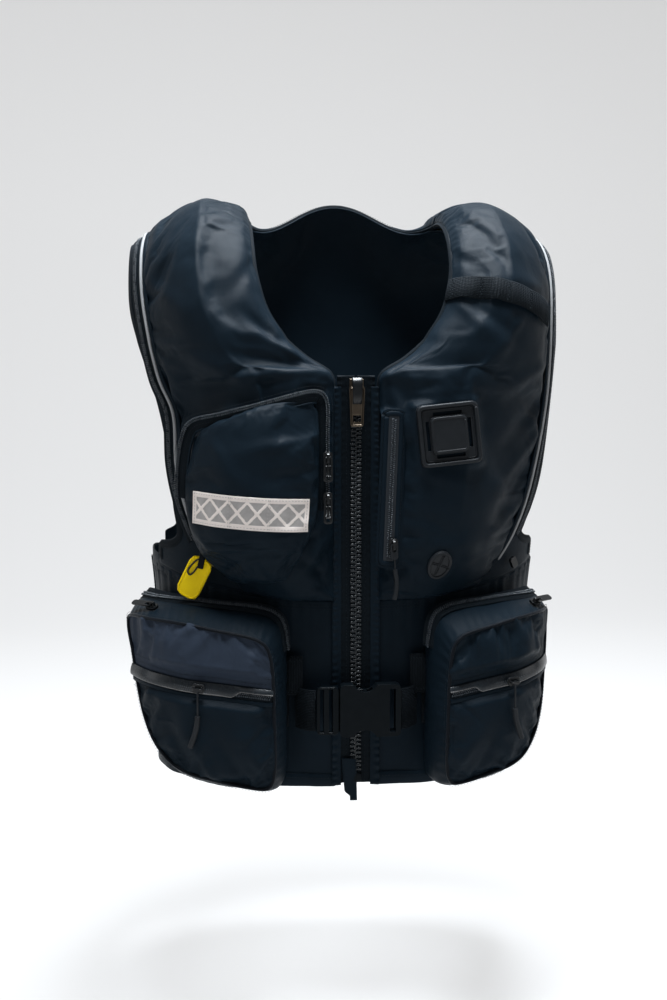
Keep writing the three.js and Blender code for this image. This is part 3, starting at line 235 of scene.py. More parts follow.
def band_point(round_deg, z, height):
    """A point on the waist band: round_deg is measured from the front middle, positive to +X."""
    def base(degrees):
        angle = np.radians(degrees)
        depth = np.where(np.cos(angle) > 0, FRONT_DEPTH, back_depth_at(z))
        power = 2 / EXPONENT
        x = half_width_at(z) * np.sign(np.sin(angle)) * np.abs(np.sin(angle)) ** power
        y = -depth * np.sign(np.cos(angle)) * np.abs(np.cos(angle)) ** power
        return np.stack([x, y, z], -1)

    round_deg, z = np.broadcast_arrays(np.asarray(round_deg, float), np.asarray(z, float))
    out = unit(np.cross(base(round_deg + 0.5) - base(round_deg - 0.5), UP))
    return base(round_deg) + out * np.asarray(height)[..., None]


def band_top(round_deg):
    """The waist band's top edge, which rises at the sides."""
    return WAIST + SIDE_RISE * np.abs(np.sin(np.radians(round_deg))) ** 2 - 0.8 * MM


# ------------------------------------------------------------ materials

def material(name, color, roughness, metallic=0.0, sheen=0.0, specular=0.045, coat=0.0):
    """A plain Principled material, to which each kind below adds its grain."""
    made = bpy.data.materials.new(name)
    made.use_nodes = True
    shader = made.node_tree.nodes["Principled BSDF"]
    shader.inputs["Base Color"].default_value = (*color, 1)
    shader.inputs["Roughness"].default_value = roughness
    shader.inputs["Metallic"].default_value = metallic
    shader.inputs["Specular IOR Level"].default_value = specular
    shader.inputs["Sheen Weight"].default_value = sheen
    shader.inputs["Sheen Roughness"].default_value = 0.4
    shader.inputs["Sheen Tint"].default_value = (0.62, 0.72, 0.85, 1)
    shader.inputs["Coat Weight"].default_value = coat
    shader.inputs["Coat Roughness"].default_value = 0.25
    return made


class Graph:
    """Short hand for building a material's nodes."""

    def __init__(self, made):
        self.tree = made.node_tree
        self.shader = self.tree.nodes["Principled BSDF"]
        self.bumps = None

    def node(self, kind, links=(), **values):
        made = self.tree.nodes.new(kind)
        for key, value in values.items():
            if hasattr(made, key):
                setattr(made, key, value)
            else:
                made.inputs[key.replace("_", " ").title()].default_value = value
        for socket, source in dict(links).items():
            self.tree.links.new(source, made.inputs[socket])
        return made

    def coordinates(self, map_name=None):
        if map_name:
            return self.node("ShaderNodeUVMap", uv_map=map_name).outputs["UV"]
        return self.node("ShaderNodeTexCoord").outputs["Object"]

    def noise(self, where, scale, detail=3.0, rough=0.55, distortion=0.0):
        made = self.node("ShaderNodeTexNoise", {"Vector": where}, scale=scale, detail=detail)
        made.inputs["Roughness"].default_value = rough
        made.inputs["Distortion"].default_value = distortion
        return made.outputs["Fac"]

    def wave(self, where, pitch, direction, profile="SIN"):
        made = self.node("ShaderNodeTexWave", {"Vector": where}, wave_type="BANDS",
                         bands_direction=direction, wave_profile=profile)
        made.inputs["Scale"].default_value = math.pi / 10 / pitch
        return made.outputs["Fac"]

    def spread(self, value, low, high):
        made = self.node("ShaderNodeMapRange", {"Value": value})
        made.inputs["To Min"].default_value = low
        made.inputs["To Max"].default_value = high
        return made.outputs["Result"]

    def blend(self, factor, low, high):
        made = self.node("ShaderNodeMix", {"Factor": factor}, data_type="RGBA")
        made.inputs[6].default_value = (*low, 1)
        made.inputs[7].default_value = (*high, 1)
        return made.outputs[2]

    def math(self, operation, first, second):
        made = self.node("ShaderNodeMath", {0: first}, operation=operation)
        if isinstance(second, float):
            made.inputs[1].default_value = second
        else:
            self.tree.links.new(second, made.inputs[1])
        return made.outputs[0]

    def bump(self, height, distance, strength=1.0):
        made = self.node("ShaderNodeBump", {"Height": height})
        made.inputs["Distance"].default_value = distance
        made.inputs["Strength"].default_value = strength
        if self.bumps:
            self.tree.links.new(self.bumps, made.inputs["Normal"])
        self.bumps = made.outputs["Normal"]
        self.tree.links.new(self.bumps, self.shader.inputs["Normal"])

    def color(self, source):
        self.tree.links.new(source, self.shader.inputs["Base Color"])

    def roughness(self, source):
        self.tree.links.new(source, self.shader.inputs["Roughness"])


def fabric(name, dark, light, roughness, sheen, thread, crinkle, weave="plain"):
    """Woven cloth: threads in both directions, a mottled dye and small crinkles."""
    made = material(name, light, roughness[0], sheen=sheen)
    graph = Graph(made)
    flat = graph.coordinates("weave")
    solid = graph.coordinates()
    mottle = graph.noise(solid, 28.0, 4.0)
    graph.color(graph.blend(mottle, dark, light))
    graph.roughness(graph.spread(graph.noise(solid, 60.0, 3.0), *roughness))
    if crinkle:
        graph.bump(graph.noise(solid, 75.0, 4.0, 0.6, 0.8), crinkle, 0.8)
        graph.bump(graph.noise(solid, 260.0, 2.0, 0.5), crinkle * 0.3, 0.5)
    warp = graph.wave(flat, thread, "X")
    weft = graph.wave(flat, thread, "Y")
    threads = graph.math("MAXIMUM", warp, weft) if weave == "plain" else warp
    graph.bump(threads, thread * 0.25, 0.5)
    return made


def moulded(name, dark, light, roughness, grain=0.02 * MM, coat=0.0, metallic=0.0, scale=900.0,
            specular=0.06):
    """Moulded or painted stock: a fine grain, and a tone that varies a little at random."""
    made = material(name, light, roughness[0], metallic=metallic, specular=specular, coat=coat)
    graph = Graph(made)
    solid = graph.coordinates()
    graph.color(graph.blend(graph.noise(solid, 120.0, 5.0), dark, light))
    graph.roughness(graph.spread(graph.noise(solid, 210.0, 3.0), *roughness))
    graph.bump(graph.noise(solid, scale, 2.0), grain, 0.6)
    return made


def webbing_material(name, dark, light):
    """Ribbed woven tape: cords along the length with a herringbone pick across them."""
    made = material(name, light, 0.7, sheen=0.03)
    graph = Graph(made)
    flat = graph.coordinates("weave")
    cords = graph.wave(flat, 1.5 * MM, "X")
    picks = graph.wave(flat, 0.9 * MM, "DIAGONAL")
    both = graph.math("MULTIPLY", cords, graph.math("ADD", picks, 0.6))
    # The colour is darker in the grooves between cords and picks: painted shade that follows the bump.
    graph.color(graph.blend(both, dark, light))
    graph.roughness(graph.spread(graph.noise(graph.coordinates(), 300.0, 2.0), 0.6, 0.85))
    graph.bump(both, 0.25 * MM, 0.9)
    return made


def reflective_material(name, dark, light):
    """Prismatic tape: small cells under a glossy film."""
    made = material(name, light, 0.32, coat=0.5)
    graph = Graph(made)
    flat = graph.coordinates("weave")
    cells = graph.node("ShaderNodeTexVoronoi", {"Vector": flat}, feature="DISTANCE_TO_EDGE")
    cells.inputs["Scale"].default_value = 900.0
    graph.color(graph.blend(graph.noise(flat, 160.0, 3.0), dark, light))
    graph.bump(cells.outputs["Distance"], 0.1 * MM, 0.5)
    return made


NAVY = fabric("navy_taffeta", (0.0034, 0.0074, 0.0118), (0.0062, 0.0120, 0.0182), (0.36, 0.5), 0.0,
              0.3 * MM, 0.3 * MM)
SLATE = fabric("slate_taffeta", (0.018, 0.025, 0.038), (0.026, 0.035, 0.052), (0.42, 0.55), 0.0,
               0.3 * MM, 0.2 * MM)
TAPE = fabric("zip_tape", (0.0025, 0.0045, 0.0065), (0.0055, 0.0085, 0.0115), (0.5, 0.65), 0.03,
              0.6 * MM, 0.0, "rib")
GREY_TAPE = fabric("coated_zip_tape", (0.018, 0.021, 0.025), (0.034, 0.038, 0.043), (0.35, 0.5), 0.03,
                   0.6 * MM, 0.0, "rib")
WEBBING = webbing_material("woven_webbing", (0.0012, 0.0022, 0.0032), (0.0085, 0.0115, 0.0145))
THREAD = moulded("sewing_thread", (0.006, 0.009, 0.012), (0.014, 0.019, 0.024), (0.5, 0.65))
# Black nylon coil painted grey: a painted highlight that stands in for the glints on its turns.
GLINT_PAINTED_COIL = moulded("coil_nylon_painted_glints", (0.026, 0.033, 0.040), (0.055, 0.065, 0.076), (0.22, 0.34), specular=0.3)
TEETH = moulded("moulded_teeth", (0.003, 0.005, 0.007), (0.009, 0.012, 0.015), (0.2, 0.32), specular=0.3)
PLASTIC = moulded("black_acetal", (0.0016, 0.0030, 0.0042), (0.0042, 0.0062, 0.0080), (0.3, 0.42))
RUBBER = moulded("soft_rubber", (0.007, 0.009, 0.011), (0.015, 0.017, 0.020), (0.36, 0.5), 0.03 * MM,
                 specular=0.16)
PAINT = moulded("black_enamel", (0.0025, 0.0035, 0.0045), (0.007, 0.008, 0.009), (0.24, 0.34), 0.01 * MM,
                0.2, specular=0.2)
BRONZE = moulded("dark_bronze", (0.075, 0.058, 0.042), (0.13, 0.105, 0.080), (0.26, 0.38), metallic=1.0)
SILVER = fabric("reflective_piping", (0.20, 0.205, 0.21), (0.29, 0.295, 0.30), (0.4, 0.5), 0.1,
                0.35 * MM, 0.0)
REFLECTIVE = reflective_material("reflective_tape", (0.66, 0.59, 0.55), (0.78, 0.71, 0.665))
PRISM = reflective_material("prism_cells", (0.24, 0.23, 0.22), (0.40, 0.38, 0.37))
STRIP_THREAD = moulded("strip_thread", (0.30, 0.29, 0.28), (0.42, 0.40, 0.39), (0.5, 0.65))
YELLOW = moulded("yellow_plastic", (0.82, 0.57, 0.002), (0.93, 0.68, 0.003), (0.3, 0.42), 0.015 * MM, 0.1)
BLADDER = fabric("bladder_fabric", (0.60, 0.48, 0.02), (0.70, 0.57, 0.03), (0.4, 0.5), 0.1, 0.4 * MM,
                 0.1 * MM)
STEEL = moulded("plated_steel", (0.38, 0.39, 0.40), (0.52, 0.53, 0.54), (0.25, 0.36), 0.01 * MM,
                metallic=1.0)
CORD = fabric("piping_cord", (0.003, 0.004, 0.006), (0.008, 0.010, 0.013), (0.3, 0.42), 0.05, 0.4 * MM, 0.0)
# Painted highlight: a grey bead that stands in for the shine along the welt lip's lower edge.
PAINTED_HIGHLIGHT = moulded("welt_painted_highlight", (0.10, 0.10, 0.10), (0.2, 0.2, 0.2), (0.25, 0.35))
WELT = moulded("coated_welt", (0.006, 0.009, 0.012), (0.014, 0.018, 0.022), (0.22, 0.32), 0.03 * MM, 0.1,
               scale=500.0, specular=0.3)

# ------------------------------------------------------------ mesh building

def mesh_object(name, verts, faces, mat, uvs=None):
    """A smooth-shaded object with a weave map, by default its own (x, z) in metres."""
    mesh = bpy.data.meshes.new(name)
    mesh.from_pydata([tuple(v) for v in np.asarray(verts, float)], [], [tuple(f) for f in faces])
    mesh.update()
    made = bpy.data.objects.new(name, mesh)
    bpy.context.scene.collection.objects.link(made)
    mesh.materials.append(mat)
    mesh.polygons.foreach_set("use_smooth", np.ones(len(mesh.polygons), bool))
    layer = mesh.uv_layers.new(name="weave")
    loops = np.zeros(len(mesh.loops), int)
    mesh.loops.foreach_get("vertex_index", loops)
    flat = np.asarray(verts, float)[:, [0, 2]] if uvs is None else np.asarray(uvs, float)
    layer.data.foreach_set("uv", flat[loops].astype(np.float32).ravel())
    return made


def grid_faces(rows, cols, start=0, closed=False):
    """Quads over a grid of rows x cols points; closed joins the last column to the first."""
    i, j = np.meshgrid(np.arange(rows - 1), np.arange(cols if closed else cols - 1), indexing="ij")
    a, b = i * cols + j, i * cols + (j + 1) % cols
    quads = np.stack([a, b, b + cols, a + cols], -1).reshape(-1, 4) + start
    return [tuple(int(v) for v in q) for q in quads]


def arc_lengths(points, axis):
    """Lengths along a line or along a grid's rows or columns, from 0."""
    step = np.linalg.norm(np.diff(points, axis=axis), axis=-1)
    total = np.cumsum(step, axis=axis)
    return np.insert(total, 0, 0, axis=axis)


def grid_normals(points):
    """Unit normals of a grid of points, by its rows and columns."""
    down, along = np.gradient(points, axis=0), np.gradient(points, axis=1)
    return unit(np.cross(down, along))


def cloth_grid(name, points, mat, out):
    """A sheet over a grid of points (rows, cols, 3), whose faces look along out at its middle."""
    rows, cols = points.shape[:2]
    middle = grid_normals(points)[rows // 2, cols // 2]
    if np.dot(middle, out) > 0:
        points = points[:, ::-1]
    uv = np.stack([arc_lengths(points, 1), arc_lengths(points, 0)], -1)
    return mesh_object(name, points.reshape(-1, 3), grid_faces(rows, cols), mat, uv.reshape(-1, 2))


def as_laid(obj, points, values):
    """A grid of values in the order of a cloth_grid's vertices, whose columns may be reversed."""
    turned = not np.allclose(coords(obj)[0], points[0, 0], atol=1e-5)
    return values[:, ::-1] if turned else values


def coords(obj):
    co = np.zeros(len(obj.data.vertices) * 3)
    obj.data.vertices.foreach_get("co", co)
    return co.reshape(-1, 3)


def set_coords(obj, points):
    obj.data.vertices.foreach_set("co", points.astype(np.float32).ravel())
    obj.data.update()


def normals(obj):
    found = np.zeros(len(obj.data.vertices) * 3)
    obj.data.vertex_normals.foreach_get("vector", found)
    return found.reshape(-1, 3)


def subdivide(obj, levels=1):
    made = obj.modifiers.new("smooth", "SUBSURF")
    made.levels = made.render_levels = levels
    made.use_limit_surface = False
    return obj


def thicken(obj, thickness, offset=-1.0):
    made = obj.modifiers.new("cloth_thickness", "SOLIDIFY")
    made.thickness = thickness
    made.offset = offset
    return obj


def round_edges(obj, width, degrees):
    """Rounds the edges that turn by more than some degrees."""
    made = obj.modifiers.new("soft_edges", "BEVEL")
    made.width = width
    made.segments = 3
    made.limit_method = "ANGLE"
    made.angle_limit = math.radians(degrees)


def apply_modifiers(obj):
    bpy.ops.object.select_all(action="DESELECT")
    obj.select_set(True)
    bpy.context.view_layer.objects.active = obj
    for modifier in list(obj.modifiers):
        bpy.ops.object.modifier_apply(modifier=modifier.name)
    return obj


SLIDE_CAP = 3 * MM
PADDED_CLOTH = {"grow": 0.05, "pressure": 3.0, "bend": 0.1, "out_cap": 4 * MM, "in_cap": 4 * MM}
POCKET_CLOTH = {"grow": 0.04, "pressure": 2.5, "bend": 0.1, "out_cap": 3 * MM, "in_cap": 3 * MM}
STRETCHED_CLOTH = {"grow": 0.02, "pressure": 0.6, "bend": 0.2, "out_cap": 2 * MM, "in_cap": 2 * MM}


def settle(obj, held, grow, pressure, bend, out_cap, in_cap, frames=18):
    """Cloth with a little more fabric than its seams allow: it swells and wrinkles between the
    held points, and no point moves further than the caps along its normal."""
    start, normal = coords(obj), normals(obj)
    group = obj.vertex_groups.new(name="held")
    group.add([int(i) for i in held], 1.0, "REPLACE")
    cloth = obj.modifiers.new("Cloth", "CLOTH")
    setting = cloth.settings
    setting.vertex_group_mass = "held"
    setting.quality = 5
    setting.mass = 0.15
    setting.tension_stiffness = setting.compression_stiffness = 12
    setting.shear_stiffness = 4
    setting.bending_stiffness = bend
    setting.air_damping = 2
    setting.use_pressure = True
    setting.uniform_pressure_force = pressure
    setting.shrink_min = -grow
    setting.effector_weights.gravity = 0
    cloth.collision_settings.use_collision = False
    cloth.point_cache.frame_start, cloth.point_cache.frame_end = 1, frames
    scene = bpy.context.scene
    for number in range(1, frames + 1):
        scene.frame_set(number)
    graph = bpy.context.evaluated_depsgraph_get()
    moved = np.array([v.co for v in obj.evaluated_get(graph).data.vertices])
    obj.modifiers.remove(cloth)
    obj.vertex_groups.remove(group)
    scene.frame_set(1)
    shift = moved - start
    depth = (shift * normal).sum(-1, keepdims=True)
    capped = np.where(depth > 0, out_cap * np.tanh(depth / out_cap), in_cap * np.tanh(depth / in_cap))
    slide = shift - depth * normal
    size = np.maximum(np.linalg.norm(slide, axis=-1, keepdims=True), 1e-9)
    slide = slide / size * SLIDE_CAP * np.tanh(size / SLIDE_CAP)
    set_coords(obj, start + capped * normal + slide)
    return obj


def ripple(obj, height, scale, seed=0.0, stretch=(1, 1, 1), fade=None):
    """Soft rises and hollows along the normals, from smooth noise."""
    points, normal = coords(obj), normals(obj)
    where = points * np.array(stretch) * scale + seed
    value = np.array([noise.noise(Vector(p)) for p in where])
    push = height * value * (1 if fade is None else fade)
    set_coords(obj, points + normal * push[:, None])
    return obj


def creases(obj, lines):
    """Folds pressed into cloth: each is (start, end, width, height), start and end as (x, z) in mm
    on the front; a negative height is a valley. A fold is sharpest near its start."""
    points, normal = coords(obj), normals(obj)
    push = np.zeros(len(points))
    for start, end, width, height in lines:
        a, b = np.array(start) * MM, np.array(end) * MM
        along = b - a
        length = np.linalg.norm(along)
        offset = points[:, [0, 2]] - a
        share = (offset @ along) / length ** 2
        side = np.abs(offset @ np.array([-along[1], along[0]])) / length
        spread = width * MM * (0.6 + 0.9 * np.clip(share, 0, 1))
        fade = smooth(share, -0.25, 0.12) * (1 - smooth(share, 0.55, 1.15))
        push += height * MM * fade * np.exp(-(side / spread) ** 2)
    set_coords(obj, points + normal * push[:, None])
    return obj


class Skin:
    """A piece's surface with its modifiers, on which trim is laid."""

    def __init__(self, *objs):
        graph = bpy.context.evaluated_depsgraph_get()
        verts, faces = [], []
        for obj in objs:
            mesh = obj.evaluated_get(graph).data
            start = len(verts)
            verts.extend(v.co.copy() for v in mesh.vertices)
            faces.extend([start + i for i in p.vertices] for p in mesh.polygons)
        self.tree = BVHTree.FromPolygons(verts, faces)

    def drop(self, x, z):
        """The first point met from the front at a column and a height, in metres."""
        hit, normal, _, _ = self.tree.ray_cast(Vector((x, -0.6, z)), Vector(-FRONT))
        return (np.array(hit), np.array(normal)) if hit else (None, None)


def soften(points, times):
    """Evens out a line of points in place, apart from its ends."""
    for _ in range(times):
        points[1:-1] = (points[:-2] + 2 * points[1:-1] + points[2:]) / 4
    return points


def closed(line):
    """A line that ends where it starts."""
    return np.vstack([line, line[:1]])


def spline(points, count):
    """A smooth line through a list's points apart from its first and last, count steps to a stretch."""
    t = np.linspace(0, 1, count, endpoint=False)[:, None]
    return np.vstack([0.5 * (2 * b + (c - a) * t + (2 * a - 5 * b + 4 * c - d) * t ** 2
                             + (3 * b - a - 3 * c + d) * t ** 3)
                      for a, b, c, d in zip(points, points[1:], points[2:], points[3:])])


def resample(points, pitch=None, count=None):
    """Points at even steps along a line of points."""
    points = np.asarray(points, float)
    length = arc_lengths(points, 0)
    count = count or max(2, int(round(length[-1] / pitch)) + 1)
    at = np.linspace(0, length[-1], count)
    return np.stack([np.interp(at, length, points[:, k]) for k in range(points.shape[1])], -1)


def curve(points, count=80):
    """A smooth line through a few points, evenly stepped."""
    points = np.asarray(points, float)
    ends = np.vstack([2 * points[0] - points[1], points, 2 * points[-1] - points[-2]])
    return resample(np.vstack([spline(ends, 24), points[-1:]]), count=count)


def closed_curve(points, count):
    """A smooth ring through points, count steps round it."""
    points = np.asarray(points, float)
    return spline(np.vstack([points[-1:], points, points[:2]]), count // len(points))


def frames_along(points, ups):
    """Across, up and forward directions at each point of a line."""
    points = np.asarray(points, float)
    forward = unit(np.gradient(points, axis=0))
    ups = np.broadcast_to(np.asarray(ups, float), points.shape)
    across = unit(np.cross(forward, ups))
    return across, np.cross(across, forward), forward


def ups_along(points, ups, count):
    """The up directions of a line at count even steps."""
    length = arc_lengths(np.asarray(points, float), 0)
    ups = np.broadcast_to(np.asarray(ups, float), np.shape(points))
    at = np.linspace(0, 1, count)
    return unit(np.stack([np.interp(at, length / length[-1], ups[:, k]) for k in range(3)], -1))


def offset_line(points, ups, distance):
    """A line beside another, along the surface."""
    across, _, _ = frames_along(points, ups)
    return np.asarray(points) + across * distance


def sweep(name, points, ups, outline, mat, capped=True):
    """Carries a closed outline of (across, up) places along a line, with a weave map in metres."""
    points, outline = np.asarray(points, float), np.asarray(outline, float)
    across, up, _ = frames_along(points, ups)
    ring = (points[:, None] + across[:, None] * outline[None, :, :1] + up[:, None] * outline[None, :, 1:2])
    rows, cols = ring.shape[:2]
    verts = ring.reshape(-1, 3)
    faces = grid_faces(rows, cols, closed=True)
    if capped:
        faces.append(tuple(range(cols))[::-1])
        faces.append(tuple(range((rows - 1) * cols, rows * cols)))
    along = np.repeat(arc_lengths(points, 0), cols)
    round_it = np.tile(np.insert(np.cumsum(np.linalg.norm(np.diff(outline, axis=0), axis=1)), 0, 0), rows)
    return mesh_object(name, verts, faces, mat, np.stack([round_it, along], -1))


def strap_outline(width, thickness, low=0.0, edge=0.35):
    """A flat strap's section with soft edges, standing from low upwards."""
    half, bevel = width / 2, thickness * edge
    top = low + thickness
    return [(-half, low + bevel), (-half + bevel, low), (half - bevel, low), (half, low + bevel),
            (half, top - bevel), (half - bevel, top), (0, top), (-half + bevel, top), (-half, top - bevel)]


def round_outline(width, height, count=12, low=0.0):
    """A round or oval section, standing from low upwards."""
    angle = np.linspace(0, 2 * math.pi, count, endpoint=False)
    return np.stack([np.cos(angle) * width / 2, low + height / 2 + np.sin(angle) * height / 2], -1)


def rounded(width, height, radius, middle=(0, 0), taper=0.0, steps=5):
    """A rounded rectangle's outline; taper narrows its lower end."""
    points = []
    for cx, cz, start in ((1, 1, 0), (-1, 1, 90), (-1, -1, 180), (1, -1, 270)):
        for k in range(steps + 1):
            angle = math.radians(start + 90 * k / steps)
            x = cx * (width / 2 - radius) + radius * math.cos(angle)
            z = cz * (height / 2 - radius) + radius * math.sin(angle)
            points.append((x * (1 - taper * (0.5 - z / height)) + middle[0], z + middle[1]))
    return points


def rounded_ring(width, height, radius):
    """A rounded rectangle's outline in even steps, for a line that is swept."""
    return resample(closed(np.array(rounded(width, height, radius))), count=120)[:-1]


def tiled(name, template, places, ups, mat, forwards=None):
    """One mesh of copies of template (verts, faces) at each place; its X is across, Y up, Z forward."""
    verts, faces = np.asarray(template[0], float), template[1]
    if forwards is None:
        across, up, forward = frames_along(places, ups)
    else:
        up, forward = np.asarray(ups, float), np.asarray(forwards, float)
        across = unit(np.cross(forward, up))
    copies = (np.asarray(places)[:, None] + across[:, None] * verts[None, :, :1]
              + up[:, None] * verts[None, :, 1:2] + forward[:, None] * verts[None, :, 2:3])
    count, size = copies.shape[:2]
    every = [tuple(i + k * size for i in face) for k in range(count) for face in faces]
    flat = np.tile(verts[:, [0, 2]], (count, 1))
    return mesh_object(name, copies.reshape(-1, 3), every, mat, flat)


def bead(length, width, height, rings=4, around=6):
    """A small capsule along Z, such as a stitch."""
    verts, faces = [], []
    for k in range(rings):
        share = (k + 0.5) / rings * 2 - 1
        size = math.sqrt(1 - (abs(share) ** 2.6) * 0.9)
        for j in range(around):
            angle = 2 * math.pi * j / around
            verts.append((width / 2 * size * math.cos(angle), height / 2 * size * math.sin(angle),
                          share * length / 2))
    faces = grid_faces(rings, around, closed=True)
    faces.append(tuple(range(around))[::-1])
    faces.append(tuple(range((rings - 1) * around, rings * around)))
    return verts, faces


STITCH = bead(2.3 * MM, 0.45 * MM, 0.4 * MM)
STITCH_PITCH = 3.0 * MM


def stitch_line(name, points, ups, mat=None, lift=0.1 * MM):
    """A row of lockstitch laid on a surface."""
    places = resample(points, pitch=STITCH_PITCH)
    laid = ups_along(points, ups, len(places))
    return tiled(name, STITCH, places + laid * lift, laid, mat or THREAD)


def stitch_rows(name, points, ups, offsets, lift=0.0):
    """Rows of stitches beside a line, at offsets in mm from it."""
    return [stitch_line(f"{name}_{k}", offset_line(points, ups, k * MM) + ups * lift, ups) for k in offsets]


def join(name, *objs):
    """Makes one piece of several."""
    bpy.ops.object.select_all(action="DESELECT")
    for obj in objs:
        obj.select_set(True)
    bpy.context.view_layer.objects.active = objs[0]
    bpy.ops.object.join()
    objs[0].name = name
    return objs[0]


def place(obj, body="root", replaces=()):
    """Makes a piece ride on its body and the CAD nodes that it stands for."""
    if replaces:
        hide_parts(*replaces)
    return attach(obj, body)


def round_box(width, depth, height, bevel, segments=3):
    """A box with rounded edges about the origin, as (verts, faces)."""
    work = bmesh.new()
    bmesh.ops.create_cube(work, size=1.0)
    bmesh.ops.scale(work, vec=(width, depth, height), verts=work.verts)
    bmesh.ops.bevel(work, geom=work.edges[:], offset=bevel, segments=segments, profile=0.6,
                    affect="EDGES")
    made = [tuple(v.co) for v in work.verts], [tuple(v.index for v in f.verts) for f in work.faces]
    work.free()
    return made


def node_frame(node):
    """Centre, across, up and out directions of a flat CAD node, along its own sides, out towards
    the front."""
    co = coords(NODES[node])
    centre = co.mean(0)
    _, _, axes = np.linalg.svd(co - centre, full_matrices=False)
    out = axes[2] if axes[2][1] < 0 else -axes[2]
    upright = unit(UP - out * np.dot(UP, out))
    level = np.cross(upright, out)
    smallest = None
    for degrees in np.arange(-45, 45, 0.5):
        angle = math.radians(degrees)
        up = upright * math.cos(angle) + level * math.sin(angle)
        across = np.cross(up, out)
        size = np.ptp(co @ up) * np.ptp(co @ across)
        if smallest is None or size < smallest[0] - 1e-9:
            smallest = size, across, up
    _, across, up = smallest
    middle = centre.copy()
    for way in (across, up, out):
        reach = (co - centre) @ way
        middle += way * (reach.max() + reach.min()) / 2
    return middle, across, up, out


def press(obj, node, margin, gap=0.4 * MM):
    """Lays the cloth flat behind a flat CAD node that is sewn on it."""
    centre, across, up, out = node_frame(node)
    co = coords(NODES[node]) - centre
    half = np.abs(np.stack([co @ across, co @ up], -1)).max(0)
    back = (co @ out).min() - gap
    points = coords(obj)
    local = points - centre
    beyond = np.maximum(np.abs(np.stack([local @ across, local @ up], -1)) - half, 0)
    hold = 1 - smooth(np.linalg.norm(beyond, axis=-1), 0, margin)
    hold = hold * (np.abs(local @ out) < 30 * MM)
    shift = (back - local @ out) * hold
    set_coords(obj, points + out * shift[:, None])
    return obj


def drape_over(obj, node, clear=2.6 * MM, travel=0.0):
    """Lifts the cloth clear of a part behind it, and of where that part moves up to."""
    skin, (low, high) = Skin(NODES[node]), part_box(node)
    points = coords(obj)
    rises = np.zeros(len(points))
    plan = points[:, [0, 2]]
    inside = ((points[:, 0] > low.x) & (points[:, 0] < high.x)
              & (points[:, 2] > low.z) & (points[:, 2] < high.z + travel))
    for index in np.flatnonzero(inside):
        for moved in (0.0, travel):
            hit, _ = skin.drop(points[index, 0], points[index, 2] - moved)
            if hit is None or points[index, 1] < hit[1] - clear:
                continue
            near = 1 - smooth(np.linalg.norm(plan - plan[index], axis=-1), 3 * MM, 18 * MM)
            rises = np.maximum(rises, (points[index, 1] - hit[1] + clear) * near)
    points[:, 1] -= rises
    set_coords(obj, points)
    return obj


# ------------------------------------------------------------ bladder covers and collar

LOBE_ROWS, LOBE_COLS = 150, 52
CREST, SHOULDER_SLACK = 0.42, 0.22
COVER_SINK = 2.5 * MM


def flat_height(down, share):
    """The cover's height: as in the CAD part near the zip, and falling evenly to its outer edge,
    so that the piping shows from the front."""
    falling = 1 - np.clip((share - CREST) / (1 - CREST), 0, 1) ** 1.45
    top = lobe_height_at(np.abs(down)) * (1 - SHOULDER_SLACK * (1 - smooth(np.abs(down), 0.3, 1.1)))
    swell = np.where(share < CREST, np.maximum(0, 4 * share * (1 - share)) ** LOBE_FULLNESS, falling)
    return LOBE_EDGE + SKIN + top * swell


def lobe_grid(side, rows, cols, lift):
    """The outer face of a front cover, lift metres above its place inside the seams."""
    t, share = np.meshgrid(np.linspace(0, 1, rows), np.linspace(0, 1, cols), indexing="ij")
    share = share - 0.06 * np.sin(share * 2 * math.pi)
    x, down = lobe_place(lobe_column(side, t, share), t)
    swell = np.clip(4 * share * (1 - share), 0, 1) ** 0.5
    height = flat_height(down, share) + lift * swell
    return sheet_point(x, down, height)


def border(rows, cols):
    """The vertices along the edge of a grid."""
    edge = np.ones((rows, cols), bool)
    edge[1:-1, 1:-1] = False
    return np.flatnonzero(edge)


# Folds of the soft pieces, as creases() takes them, in mm.
COVER_FOLDS = {
    "right": [
        ((-48, -128), (-112, -96), 5, 3.2), ((-52, -133), (-120, -122), 4, -2.4),
        ((-56, -140), (-128, -146), 5, 3.0), ((-62, -122), (-90, -70), 6, 2.0),
        ((-66, -116), (-104, -84), 4, -2.2), ((-96, -150), (-160, -120), 6, 2.0),
        ((-80, -148), (-150, -152), 4, -1.8), ((-92, -40), (-120, -80), 8, -1.6),
        ((-182, -60), (-140, -100), 9, 1.8), ((-176, -120), (-140, -140), 6, -1.6),
        ((-28, -150), (-60, -148), 4, 2.2), ((-26, -290), (-70, -335), 6, 2.2),
        ((-34, -318), (-60, -300), 4, -2.0), ((-24, -200), (-40, -240), 4, 1.4),
    ],
    "left": [
        ((96, -82), (132, -120), 6, 2.4), ((112, -84), (160, -118), 5, -2.2),
        ((150, -90), (118, -136), 6, 2.0), ((184, -130), (128, -160), 7, 2.2),
        ((182, -164), (120, -228), 8, -2.4), ((176, -200), (112, -262), 7, 2.6),
        ((168, -232), (118, -286), 6, -2.0), ((160, -262), (108, -300), 6, 2.2),
        ((140, -300), (96, -318), 5, -1.8), ((44, -138), (60, -176), 6, 2.0),
        ((30, -150), (46, -200), 5, 1.8), ((50, -330), (40, -290), 5, 1.8),
        ((170, -60), (130, -48), 9, 1.6), ((92, -30), (128, -52), 7, -1.6),
        ((66, -232), (120, -246), 9, 1.4), ((60, -270), (96, -292), 8, -1.6),
    ],
}

# What each cover lies over, and how far it slides up.
INSIDE = {
    "right": {"inflator_body": 0.0, "inflator_lever": 0.0, "co2_cylinder": 0.0},
    "left": {"oral_tube": 0.0, "oral_cap": 14 * MM},
}


